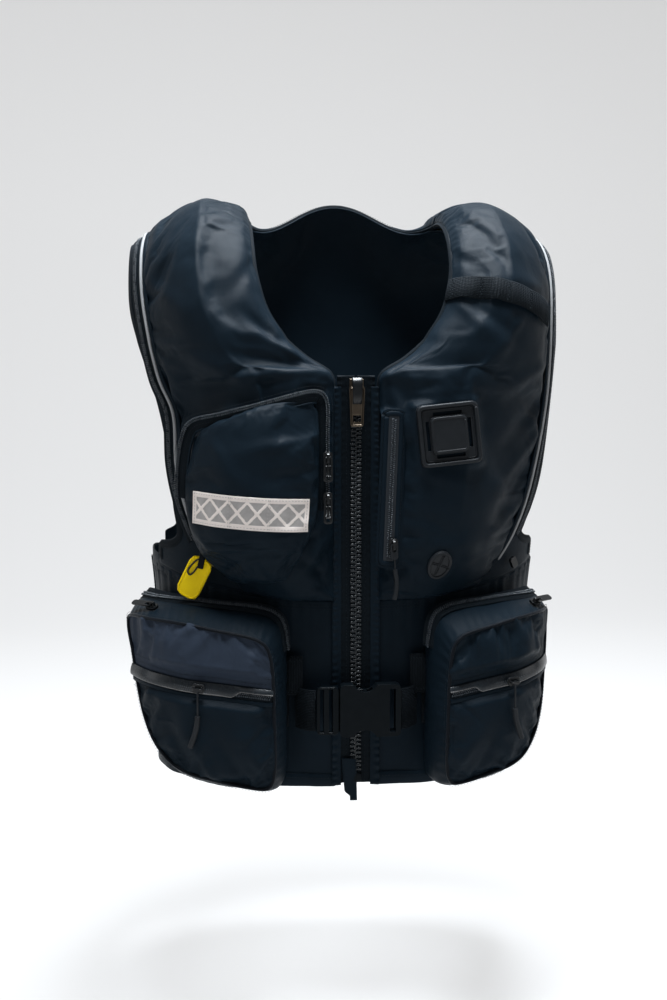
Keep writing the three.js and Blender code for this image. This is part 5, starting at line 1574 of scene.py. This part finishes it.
def make_lash_details():
    """The lash tab's rolled rim, its step, its raised pad's rim and its seam."""
    face = node_frame("lash_tab")
    top = ((coords(NODES["lash_tab"]) - face[0]) @ face[3]).max()
    ridges = []
    for name, (size, corner, lift, mat, (width, height, around, low)) in LASH_RIDGES.items():
        line = closed(on_face(face, rounded_ring(size, size, corner), top + lift * MM))
        section = round_outline(width * MM, height * MM, around, low * MM)
        ridges.append(sweep(f"lash_{name}", line, face[3], section, mat))
    return place(join("lash_moulding", *ridges))


def make_port_details():
    """The cable port's rolled rim and its cross slit."""
    centre, across, up, out = node_frame("cable_port")
    co = coords(NODES["cable_port"]) - centre
    top, reach_x, reach_z = (co @ out).max(), (co @ across).max(), (co @ up).max()
    angle = np.linspace(0, 2 * math.pi, 61)
    rim_line = (centre + out * (top + 0.2 * MM) + across * np.cos(angle)[:, None] * (reach_x - 1.3 * MM)
                + up * np.sin(angle)[:, None] * (reach_z - 1.3 * MM))
    rim = sweep("port_rim", rim_line, out, round_outline(2.8 * MM, 2.2 * MM, 10, -1.1 * MM), RUBBER)
    lips = []
    for number, (way, reach) in enumerate(((across, reach_x - 3.4 * MM), (up, reach_z - 4 * MM))):
        side_way = np.cross(out, way)
        for k in (-1, 1):
            line = (centre + out * (top + 0.25 * MM) + side_way * k * 0.75 * MM
                    + way * np.linspace(-reach, reach, 20)[:, None])
            lips.append(sweep(f"port_lip_{number}_{k}", line, out,
                              round_outline(1.0 * MM, 1.1 * MM, 8, -0.55 * MM), RUBBER))
    return place(join("port_moulding", rim, *lips))


TAB_LOOP = [(-1.5, 7), (-4.5, 4), (-7, -3), (-7.4, -9), (-4.5, -11), (-2.4, -8), (-1.0, -1), (1.4, 5),
            (1.0, 8), (-1.5, 7)]


def make_tab_trim():
    """The black loop and grip on the yellow tab's head."""
    centre, across, up, out = node_frame("pull_tab")
    co = coords(NODES["pull_tab"]) - centre
    if np.ptp(co @ across) > np.ptp(co @ up):
        across, up = up * np.sign(up[0]), across * np.sign(across[2])
    top, high = (co @ out).max(), (co @ up).max()
    face = centre, across, up, out
    loop_line = curve(on_face(face, [(x, z + high / MM - 8) for x, z in TAB_LOOP], top + 1.3 * MM), 60)
    cord = sweep("tab_loop", loop_line, out, round_outline(1.7 * MM, 1.7 * MM, 8, -0.85 * MM), PAINT)
    grip_verts, grip_faces = round_box(5.4 * MM, 2.6 * MM, 15 * MM, 1.1 * MM)
    tilt = math.radians(-16)
    lean_up = up * math.cos(tilt) + across * math.sin(tilt)
    lean_across = np.cross(lean_up, out)
    basis = np.stack([lean_across, -out, lean_up], 0)
    grip_at = centre + up * (high - 2 * MM) + out * (top + 1.9 * MM)
    grip = mesh_object("tab_grip", np.array(grip_verts) @ basis + grip_at, grip_faces, PLASTIC)
    outline = rounded_ring(np.ptp(co @ across) / MM - 2.6, np.ptp(co @ up) / MM - 2.6, 6.2)
    ridge = sweep("tab_edge", closed(on_face(face, outline, top + 0.1 * MM)), out,
                  round_outline(1.5 * MM, 1.0 * MM, 8, -0.6 * MM), YELLOW)
    return place(join("tab_trim", cord, grip, ridge), "pull_tab")


chest_pocket = make_chest_pocket()
make_chest_zip()
make_strip(Skin(chest_pocket))
make_daisy_chain(Skin(COVERS["left"]))
make_phone_zip()
make_lash_details()
make_port_details()
make_tab_trim()

# ------------------------------------------------------------ lower pockets

# The right pocket's outlines in mm: PLAN as (x, y), the others as (x, z). Beyond LOW_STRETCH both
# pockets are stretched, so that each ends at its own reach.
POCKET_REACH = {"right": 209.6, "left": 187.0}
PLAN = track([(59, -141), (66, -158), (74, -175), (80, -179.8), (100, -176), (125, -171), (150, -165.5),
              (172, -151), (186, -136), (197, -115), (203, -97)])
FACE = [(199.6, -361), (184.4, -358.5), (152.1, -360), (126.5, -365), (102.7, -369.5), (89.4, -374),
        (82, -383), (78.5, -405), (77.5, -440), (76.8, -476), (78, -498), (82.5, -507.5), (92, -508.5),
        (108.4, -506), (129.3, -501), (148.3, -495.5), (164.5, -487), (178.7, -470), (187.7, -448),
        (193, -424), (197.7, -395), (202, -373)]
BACK_RING = [(177, -350), (166, -348.5), (142, -348.5), (115, -349), (92, -349), (76, -352), (66, -362),
             (63, -395), (63, -435), (63, -470), (63, -496), (65, -511), (78, -517), (98, -517.5),
             (120, -517), (140, -514), (154, -508), (165, -494), (171, -468), (174, -440), (176.5, -405),
             (178, -368)]
LOW_STRETCH, DRAWN_REACH = 79.0, 203.0
PANEL_Y = -136
POCKET_HEART, HEART_DEPTH = (125.0, -435.0), 20 * MM


def pocket_x(side, x):
    """The distance from the middle in mm at which a drawn x is on a pocket."""
    stretch = (POCKET_REACH[side] - LOW_STRETCH) / (DRAWN_REACH - LOW_STRETCH)
    return np.where(x <= LOW_STRETCH, x, LOW_STRETCH + (x - LOW_STRETCH) * stretch)


def face_point(side, x, z, lift=0.0):
    """A point of the pocket's front at a column and a height, in mm."""
    draw = 1 - 0.14 * smooth(-z, 470, 515) - 0.03 * smooth(z, -372, -352)
    y = PANEL_Y + (PLAN(x) - PANEL_Y) * draw
    slope = PLAN(x + 0.5) - PLAN(x - 0.5)
    out = unit(np.stack([slope, -np.ones_like(slope), 0 * slope], -1))
    point = np.stack([x, y, z], -1) + out * np.asarray(lift)[..., None]
    return np.stack([SIDES[side] * pocket_x(side, point[..., 0]), point[..., 1], point[..., 2]], -1) * MM


def back_point(side, x, z):
    """A point of the pocket's back, where it is sewn to the waist panel."""
    return front_point(SIDES[side] * pocket_x(side, x) * MM, z * MM, np.full(np.shape(x), 6.4 * MM))


RING_COUNT = 352

# Outline points of FACE: where the top zip starts and ends, and the face grid's corners.
TOP_START, INNER_END = 0, 6.9
FACE_CORNERS = (0, 5.6, 11, 16)


def ring_share(index):
    """Which sample of the ring an outline point is."""
    return int(index * RING_COUNT / len(FACE))


def gusset_grid(side, rows=12):
    """The gusset between the face's seam and the panel, bulging out, with its out directions."""
    near = face_point(side, *closed_curve(FACE, RING_COUNT).T)
    far = back_point(side, *closed_curve(BACK_RING, RING_COUNT).T)
    span = far - near
    heart = face_point(side, *np.array(POCKET_HEART)) - FRONT * HEART_DEPTH
    share = np.linspace(0, 1, rows)[:, None, None]
    out = unit((near + far) / 2 - heart)
    out = unit(out - span * ((out * span).sum(-1) / np.maximum((span ** 2).sum(-1), 1e-9))[:, None])
    return near + span * share + out * 4.0 * MM * np.sin(share * math.pi), out


def pucker(points, out, pitch, depth, share, seed):
    """Gathers along a seam, on the rows of a grid nearest to it."""
    length = arc_lengths(points[0], 0)
    wander = np.array([noise.noise(Vector((a * 40, seed, 0.3))) for a in length])
    wave = np.sin(length / pitch * 2 * math.pi + 3.0 * wander) * (0.6 + 0.9 * np.abs(wander))
    return points + out * (depth * wave)[None, :, None] * share[:, None, None]


def coons(outline, corners, rows, cols):
    """A grid of (x, z) inside a closed outline; corners are its samples at top outer, top inner,
    bottom inner and bottom outer."""
    def run(a, b, count):
        b = b if b > a else b + len(outline)
        return resample(outline[np.arange(a, b + 1) % len(outline)], count=count)

    top, inner = run(corners[0], corners[1], cols), run(corners[1], corners[2], rows)
    bottom, outer = run(corners[2], corners[3], cols)[::-1], run(corners[3], corners[0], rows)[::-1]
    u, v = np.linspace(0, 1, cols)[None, :, None], np.linspace(0, 1, rows)[:, None, None]
    ruled = (1 - v) * top[None] + v * bottom[None] + (1 - u) * outer[:, None] + u * inner[:, None]
    return ruled - ((1 - u) * (1 - v) * top[0] + u * (1 - v) * top[-1] + (1 - u) * v * bottom[0]
                    + u * v * bottom[-1])


def welt_line(side):
    """The height in mm of the face zip's line at a drawn x, a little steeper than its CAD node."""
    co = coords(NODES[f"welt_zip_{side}"])
    centre = co.mean(0)
    along = np.linalg.svd(co - centre, full_matrices=False)[2][0]
    slope = 1.45 * along[2] / abs(along[0]) * np.sign(along[0]) * SIDES[side]

    def height(x):
        return (centre[2] + slope * (pocket_x(side, x) * MM - abs(centre[0]))) / MM

    return height


def make_face(side):
    """The pocket's front panel, drawn flat behind its zip; on the right its upper part is slate."""
    rows, cols = 90, 84
    grid = coons(closed_curve(FACE, RING_COUNT), [ring_share(k) for k in FACE_CORNERS], rows, cols)
    v, u = np.meshgrid(np.linspace(0, 1, rows), np.linspace(0, 1, cols), indexing="ij")
    dome = np.clip(16 * u * (1 - u) * v * (1 - v), 0, 1) ** 0.5
    from_welt = grid[..., 1] - welt_line(side)(grid[..., 0])
    fold = 1.4 * np.exp(-((from_welt - 15) / 5.5) ** 2) * np.clip(4 * u * (1 - u), 0, 1) ** 0.3
    plain = face_point(side, grid[..., 0], grid[..., 1])
    points = face_point(side, grid[..., 0], grid[..., 1], 4.0 * dome + fold)
    made = cloth_grid(f"pocket_face_{side}", points, NAVY, FRONT)
    plain = as_laid(made, points, plain).reshape(-1, 3)
    from_welt, down = as_laid(made, points, from_welt).ravel(), as_laid(made, points, v).ravel()
    settle(made, border(rows, cols), **PADDED_CLOTH)
    top_fade = np.exp(-down / (0.17 if side == "left" else 0.08)) * smooth(down, 0, 0.02)
    column = coords(made)[:, 0]
    wander = np.array([noise.noise(Vector((c * 45, 2.0, 1.0))) for c in column])
    wave = np.sin(column / (11 * MM) * 2 * math.pi + 7 * wander) * (0.3 + 1.2 * np.abs(wander))
    set_coords(made, coords(made) + normals(made) * (1.5 * MM * wave * top_fade)[:, None])
    ripple(made, 1.5 * MM, 24, 20.0 if side == "right" else 31.0, (1, 1, 0.7))
    ripple(made, 0.5 * MM, 70, 7.7)
    creases(made, POCKET_FOLDS[side])
    hold = (1 - smooth(np.abs(from_welt - 1), 8, 18))[:, None]
    set_coords(made, coords(made) * (1 - hold) + plain * hold)
    if side == "right":
        made.data.materials.append(SLATE)
        for polygon in made.data.polygons:
            polygon.material_index = int(from_welt[list(polygon.vertices)].mean() > 2.5)
    subdivide(thicken(made, 1.2 * MM))
    return place(made, "root", [f"lower_pocket_{side}"])


POCKET_FOLDS = {
    "right": [
        ((-92, -380), (-104, -410), 5, 1.8), ((-120, -368), (-130, -404), 6, -1.6),
        ((-150, -362), (-160, -400), 6, 1.8), ((-186, -360), (-176, -410), 6, -1.8),
        ((-84, -500), (-110, -450), 6, 2.0), ((-100, -506), (-140, -446), 6, -2.2),
        ((-130, -500), (-160, -446), 6, 2.2), ((-156, -484), (-176, -436), 6, -1.8),
        ((-80, -456), (-120, -462), 6, 1.6), ((-190, -400), (-160, -430), 7, 1.8),
    ],
    "left": [
        ((86, -392), (96, -430), 5, 2.0), ((100, -378), (108, -420), 5, -1.8),
        ((118, -370), (124, -420), 5, 2.0), ((136, -364), (138, -410), 5, -1.8),
        ((152, -362), (152, -404), 5, 1.8), ((82, -500), (112, -450), 6, 2.0),
        ((100, -508), (132, -446), 6, -2.0), ((130, -500), (150, -446), 6, 2.0),
        ((160, -470), (140, -430), 6, -1.8),
    ],
}


def make_gusset(side):
    """The pocket's gusset, gathered at both seams."""
    points, out = gusset_grid(side)
    rows, ring = points.shape[:2]
    share = np.linspace(0, 1, rows)
    points = pucker(points, out, 8.5 * MM, 0.8 * MM, np.exp(-share / 0.22) * smooth(share, 0, 0.12), 3.0)
    points = pucker(points, out, 11 * MM, 0.5 * MM, np.exp((share - 1) / 0.25), 8.0)
    uv = np.stack([np.tile(arc_lengths(points[0], 0), (rows, 1)), arc_lengths(points, 0)], -1)
    made = mesh_object(f"pocket_gusset_{side}", points.reshape(-1, 3), grid_faces(rows, ring, closed=True),
                       NAVY, uv.reshape(-1, 2))
    if SIDES[side] > 0:
        made.data.flip_normals()
    ripple(made, 1.0 * MM, 34, 5.0)
    subdivide(thicken(made, 1.2 * MM))
    place(made, "root")
    return points, out


def pocket_trim(side, grid, out):
    """Piping round the face with its seam, and the top zip on the gusset."""
    loop, loop_up, loop_out = closed(grid[0]), closed(unit(grid[0] - grid[3])), closed(out)
    cord = sweep(f"pocket_piping_{side}", loop, loop_up, round_outline(3.2 * MM, 3.2 * MM, 10, -0.9 * MM),
                 CORD)
    inner = loop - loop_up * 1.5 * MM + loop_out * 2.4 * MM
    place(join(f"pocket_piping_{side}", cord, stitch_line(f"pocket_seam_{side}", inner, loop_out)))
    first, last = ring_share(TOP_START) + 3, ring_share(INNER_END)
    ups = out[first:last]
    middle = soften(grid[8, first:last] + ups * 2.0 * MM, 10)
    tape = tape_band(f"pocket_zip_tape_{side}", middle, ups, 17 * MM, 0.9 * MM, -0.4 * MM)
    coil = coil_chain(f"pocket_zip_coil_{side}", middle + ups * 0.5 * MM, ups, 5.2 * MM, 2.2 * MM)
    seams = stitch_rows(f"pocket_zip_seam_{side}", middle, ups, (-7.0, -4.6, 4.6, 7.0), 0.5 * MM)
    return place(join(f"pocket_zip_chain_{side}", coil, tape, *seams), "root",
                 [f"pocket_zip_{side}"])


def make_welt(side):
    """The face pocket's zip: a coated lip over a coil, open near the inner seam, and its stitches."""
    height = welt_line(side)

    def lip_low(x):
        """How far the lip's lower edge is from the zip's line: raised where the zip shows."""
        return -5.4 + 5.6 * (1 - smooth(x, 104, 114))

    def run(above, lift, start=79.5, end=196.0, count=150):
        """A line on the face beside the zip, and its out directions."""
        x = np.linspace(start, end, count)
        wobble = 0.5 * np.sin(x / 9.0) * smooth(abs(above), 6, 9)
        z = height(x) + above + wobble
        points = face_point(side, x, z, np.full(count, lift))
        out = unit(face_point(side, x, z, np.full(count, lift + 1)) - points)
        return points, out

    tape, out = run(-1.5, 0.5)
    tape = sweep(f"welt_tape_{side}", tape, out, strap_outline(13 * MM, 0.7 * MM), TAPE)
    chain, out = run(-2.4, 1.2, 81, 194)
    coil = coil_chain(f"welt_coil_{side}", chain, out, 4.6 * MM, 1.7 * MM)
    place(join(f"welt_zip_coil_{side}", coil, tape), "root", [f"welt_zip_{side}"])
    x, v = np.meshgrid(np.linspace(79.0, 197.5, 130), np.linspace(0, 1, 14), indexing="ij")
    above = lip_low(x) + (4.6 - lip_low(x)) * v
    lift = 1.3 + 1.7 * np.sin(np.clip(1 - v, 0, 1) * math.pi * 0.62) + 0.5 * np.sin(x / 13.0) * (1 - v)
    flap = cloth_grid(f"welt_lip_{side}", face_point(side, x, height(x) + above, lift), WELT, FRONT)
    place(subdivide(thicken(flap, 0.9 * MM)), "root")
    edge_x = np.linspace(79.5, 197, 150)
    edge = face_point(side, edge_x, height(edge_x) + lip_low(edge_x), np.full(150, 2.7))
    # The lip's lower edge in grey: a painted highlight where the coated lip catches the light.
    highlight_bead = sweep(f"welt_painted_highlight_{side}", edge, FRONT, round_outline(1.1 * MM, 1.0 * MM, 8, -0.5 * MM), PAINTED_HIGHLIGHT)
    fold, fold_out = run(-8.6, 0.7)
    under = sweep(f"welt_fold_{side}", fold, fold_out, strap_outline(4.4 * MM, 1.5 * MM, -0.2 * MM, 0.45),
                  NAVY)
    rows = []
    for above_it, lifted in ((9.0, 0.8), (14.0, 1.0), (-11.4, 0.5), (-15.5, 0.8)):
        line, line_out = run(above_it, lifted)
        rows.append(stitch_line(f"welt_row_{side}_{above_it}", line, line_out))
    return place(join(f"welt_seams_{side}", highlight_bead, under, *rows), "root")


def make_side_tab(side):
    """The folded webbing tab at the pocket's inner side."""
    y = -134.5 - 3.4 * np.sin(np.linspace(0, math.pi, 24)) ** 0.6
    line = np.stack([np.full(24, SIDES[side] * 57), y, np.linspace(-398, -432, 24)], -1) * MM
    tab = sweep(f"pocket_tab_{side}", line, FRONT, strap_outline(15 * MM, 3.4 * MM, -1.2 * MM), WEBBING)
    tacks = [bartack(f"pocket_tack_{side}_{k}", line[i] + FRONT * 2.3 * MM, FRONT, UP, 12 * MM)
             for k, i in enumerate((2, -3))]
    return place(join(f"pocket_tab_{side}", tab, *tacks), "root")


for pocket_side in SIDES:
    gusset, gusset_out = make_gusset(pocket_side)
    make_face(pocket_side)
    pocket_trim(pocket_side, gusset, gusset_out)
    make_welt(pocket_side)
    make_side_tab(pocket_side)

# ------------------------------------------------------------ hard parts

def plate_mesh(name, outline, holes, thickness, mat):
    """A flat plate in X and Z about the origin with windows, its edges rounded by a bevel."""
    work = bmesh.new()
    rings = [[work.verts.new((x, 0, z)) for x, z in ring] for ring in (outline, *holes)]
    edges = [work.edges.new((ring[i], ring[(i + 1) % len(ring)]))
             for ring in rings for i in range(len(ring))]
    bmesh.ops.triangle_fill(work, edges=edges, use_beauty=True)
    bmesh.ops.recalc_face_normals(work, faces=work.faces[:])
    work.verts.index_update()
    made = [tuple(v.co) for v in work.verts], [tuple(v.index for v in f.verts) for f in work.faces]
    work.free()
    obj = mesh_object(name, made[0], made[1], mat)
    thicken(obj, thickness, 0)
    round_edges(obj, thickness * 0.3, 40)
    return obj


def make_main_pull():
    """The main zip's cast pull: a tab with a window, a raised panel and a raised rim."""
    low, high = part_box("main_puller")
    centre = (low + high) / 2
    height = high[2] - low[2]
    tab = plate_mesh("main_pull_tab", rounded(14.4 * MM, height, 2.2 * MM, (0, 0), 0.2),
                     [rounded(7.4 * MM, 6.4 * MM, 1.0 * MM, (0, -height / 2 + 7.4 * MM))], 2.2 * MM, BRONZE)
    panel = plate_mesh("main_pull_panel", rounded(8.6 * MM, 13.5 * MM, 1.4 * MM, (0, -1.0 * MM), 0.12), [],
                       2.9 * MM, BRONZE)
    inside = rounded(10.2 * MM, height - 4.2 * MM, 1.6 * MM, (0, 0.2 * MM), 0.18)
    ring = plate_mesh("main_pull_rim", rounded(13.0 * MM, height - 1.2 * MM, 2.0 * MM, (0, 0), 0.2),
                      [inside], 3.0 * MM, BRONZE)
    made = join_applied("main_pull_tab", tab, panel, ring)
    set_coords(made, coords(made) + np.array(centre))
    return place(made, "main_puller", ["main_puller"])


def join_applied(name, *objs):
    """Joins pieces after their modifiers are applied."""
    return join(name, *(apply_modifiers(obj) for obj in objs))


def make_crown():
    """The enamelled bridge over the main slider, under which the pull tab turns."""
    low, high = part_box("main_slider")
    z, share = np.meshgrid(np.linspace(0, 1, 30), np.linspace(-1, 1, 9), indexing="ij")
    arch = low[1] - 0.9 * MM + 4.2 * MM * np.abs(z * 2 - 1) ** 4
    width = 4.9 * MM * (1 - 0.1 * z)
    points = np.stack([share * width, arch + 0.5 * MM * np.abs(share) ** 4,
                       high[2] + 1.5 * MM - z * 24.5 * MM], -1)
    made = cloth_grid("slider_crown", points, PAINT, FRONT)
    return place(subdivide(thicken(made, 1.8 * MM)), "main_slider")


def make_pull(node, length, width):
    """A cast zip pull: a window at its head, a hole at its foot and a raised rim."""
    low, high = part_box(node)
    middle = (low + high) / 2
    window = rounded(width * 0.5, 6.0 * MM, 1.1 * MM, (0, length / 2 - 4.6 * MM))
    hole = rounded(2.8 * MM, 2.8 * MM, 1.39 * MM, (0, -length / 2 + 3.4 * MM))
    body = plate_mesh(f"{node}_body", rounded(width, length, width * 0.36, taper=-0.12), [window, hole],
                      1.5 * MM, PAINT)
    rim = plate_mesh(f"{node}_rim", rounded(width * 0.78, length - 12.5 * MM, 1.2 * MM, (0, -1.4 * MM)),
                     [rounded(width * 0.52, length - 14.5 * MM, 0.8 * MM, (0, -1.4 * MM))], 2.1 * MM, PAINT)
    made = join_applied(f"{node}_cast", body, rim)
    set_coords(made, coords(made) + np.array([middle.x, middle.y, high.z - length / 2]))
    return place(made, node, [node])


def belt_end(name, sign, start, count):
    """The webbing from one half of the buckle back under the pocket, and its line."""
    places = [(sign * x, y, BELT_LEVEL) for x, y in ((start, -149), *BELT_TURN)]
    line = curve(np.array(places) * MM, count)
    ups = unit(np.cross(unit(np.gradient(line, axis=0)), UP))
    ups *= np.sign(-ups[:, 1:2])
    return sweep(name, line, ups, strap_outline(BELT_WIDTH, 2.2 * MM, -1.1 * MM), WEBBING), line


def make_waist_belt():
    """The webbing round the waist and back to the buckle's female half."""
    degrees, level, height = np.linspace(14.5, 345.5, 260), BELT_LEVEL * MM, 3.2 * MM
    around = band_point(degrees, level, height)
    out = unit(band_point(degrees, level, height + 1 * MM) - around)
    belt = sweep("belt", around, out, strap_outline(BELT_WIDTH, 2.0 * MM), WEBBING)
    nose, _ = belt_end("belt_nose", 1, 39.8, 24)
    return place(join("waist_webbing", belt, nose), "root", ["waist_belt"])


def make_belt_loop():
    """The belt's end in the male half of the buckle."""
    made, path = belt_end("belt_end_webbing", -1, 38.9, 40)
    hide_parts("belt_loop")
    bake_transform(made)


# CAD nodes that show, by material and by the rounding of their edges in mm.
HARD_PARTS = [
    (PLASTIC, 0.9, ("buckle_female", "buckle_male", "prong_upper", "prong_lower")),
    (PLASTIC, 0.8, ("inflator_body",)),
    (PAINT, 0.35, ("chest_slider_upper", "chest_slider_lower", "phone_slider", "pocket_slider_right",
                   "pocket_slider_left", "welt_slider_right", "welt_slider_left", "burst_slider_right",
                   "burst_slider_left")),
    (PAINT, 0.4, ("pocket_puller_right", "pocket_puller_left")),
    (RUBBER, 0.3, ("phone_pull", "welt_pull_right", "welt_pull_left")),
    (RUBBER, 0.5, ("oral_tube",)),
    (RUBBER, 0.7, ("lash_tab", "cable_port")),
    (YELLOW, 0.4, ("oral_cap", "inflator_lever")),
    (YELLOW, 0.5, ("pull_tab",)),
    (BRONZE, 0.5, ("main_slider",)),
    (STEEL, 0.5, ("co2_cylinder",)),
]
for hard_material, rounding, hard_parts in HARD_PARTS:
    for hard_part in hard_parts:
        shade(hard_part, hard_material, rounding * MM)
make_pull("chest_puller_upper", 22.4 * MM, 7.8 * MM)
make_pull("chest_puller_lower", 23.6 * MM, 7.4 * MM)
make_main_pull()
make_crown()
make_waist_belt()
make_belt_loop()

# ------------------------------------------------------------ floor, light and camera

def area_light(name, place_at, target, size, power, color=(1, 1, 1)):
    """A rectangular light that looks at a target."""
    data = bpy.data.lights.new(name, "AREA")
    data.shape = "RECTANGLE"
    data.size, data.size_y = size
    data.energy = power
    data.color = color
    lamp = bpy.data.objects.new(name, data)
    bpy.context.scene.collection.objects.link(lamp)
    lamp.location = place_at
    lamp.rotation_euler = (Vector(target) - Vector(place_at)).to_track_quat("-Z", "Y").to_euler()


def make_studio():
    """A pale floor that curves up behind, under an overhead light."""
    world = bpy.data.worlds.new("studio")
    world.use_nodes = True
    background = world.node_tree.nodes["Background"]
    background.inputs["Color"].default_value = (0.94, 0.96, 1.0, 1)
    background.inputs["Strength"].default_value = 0.2
    bpy.context.scene.world = world
    area_light("overhead", (0.1, -0.1, 1.4), (0, -0.05, -0.1), (1.3, 0.6), 126, (0.9, 0.95, 1.0))
    area_light("front", (-0.7, -1.9, 1.7), (0, 0, -0.25), (1.2, 1.2), 2.5, (0.92, 0.96, 1.0))
    area_light("left_rim", (1.7, -0.2, 0.3), (0, 0, -0.2), (0.6, 1.6), 3)
    area_light("right_rim", (-1.7, -0.2, 0.3), (0, 0, -0.2), (0.6, 1.6), 4)
    paint = material("floor_paint", (0.28, 0.28, 0.28), 0.9, specular=0.05)
    shader = paint.node_tree.nodes["Principled BSDF"]
    shader.inputs["Emission Color"].default_value = (1, 1, 1, 1)
    shader.inputs["Emission Strength"].default_value = 0.52
    reach, rise, radius, level = 3.0, 3.2, 1.2, -0.74
    line = [(-6.0, level), (reach - radius, level)]
    for step in range(1, 13):
        angle = step / 12 * math.pi / 2
        line.append((reach - radius + radius * math.sin(angle), level + radius * (1 - math.cos(angle))))
    line.append((reach, rise))
    verts = [(x, y, z) for y, z in line for x in (-7.0, 7.0)]
    floor = mesh_object("floor", verts, grid_faces(len(line), 2), paint)


def make_camera():
    """A front view, 6 degrees round to the wearer's right and a little above."""
    distance, yaw, pitch, pan = 1.25, math.radians(6), math.radians(5.1), math.radians(0.35)
    data = bpy.data.cameras.new("camera")
    data.sensor_width = 36
    data.lens = 44.4
    camera = bpy.data.objects.new("camera", data)
    bpy.context.scene.collection.objects.link(camera)
    camera.location = (-distance * math.sin(yaw), -distance * math.cos(yaw), -0.155)
    camera.rotation_euler = (math.pi / 2 - pitch, 0, -yaw + pan)
    bpy.context.scene.camera = camera
    bpy.context.scene.view_settings.view_transform = "Standard"


make_studio()
make_camera()
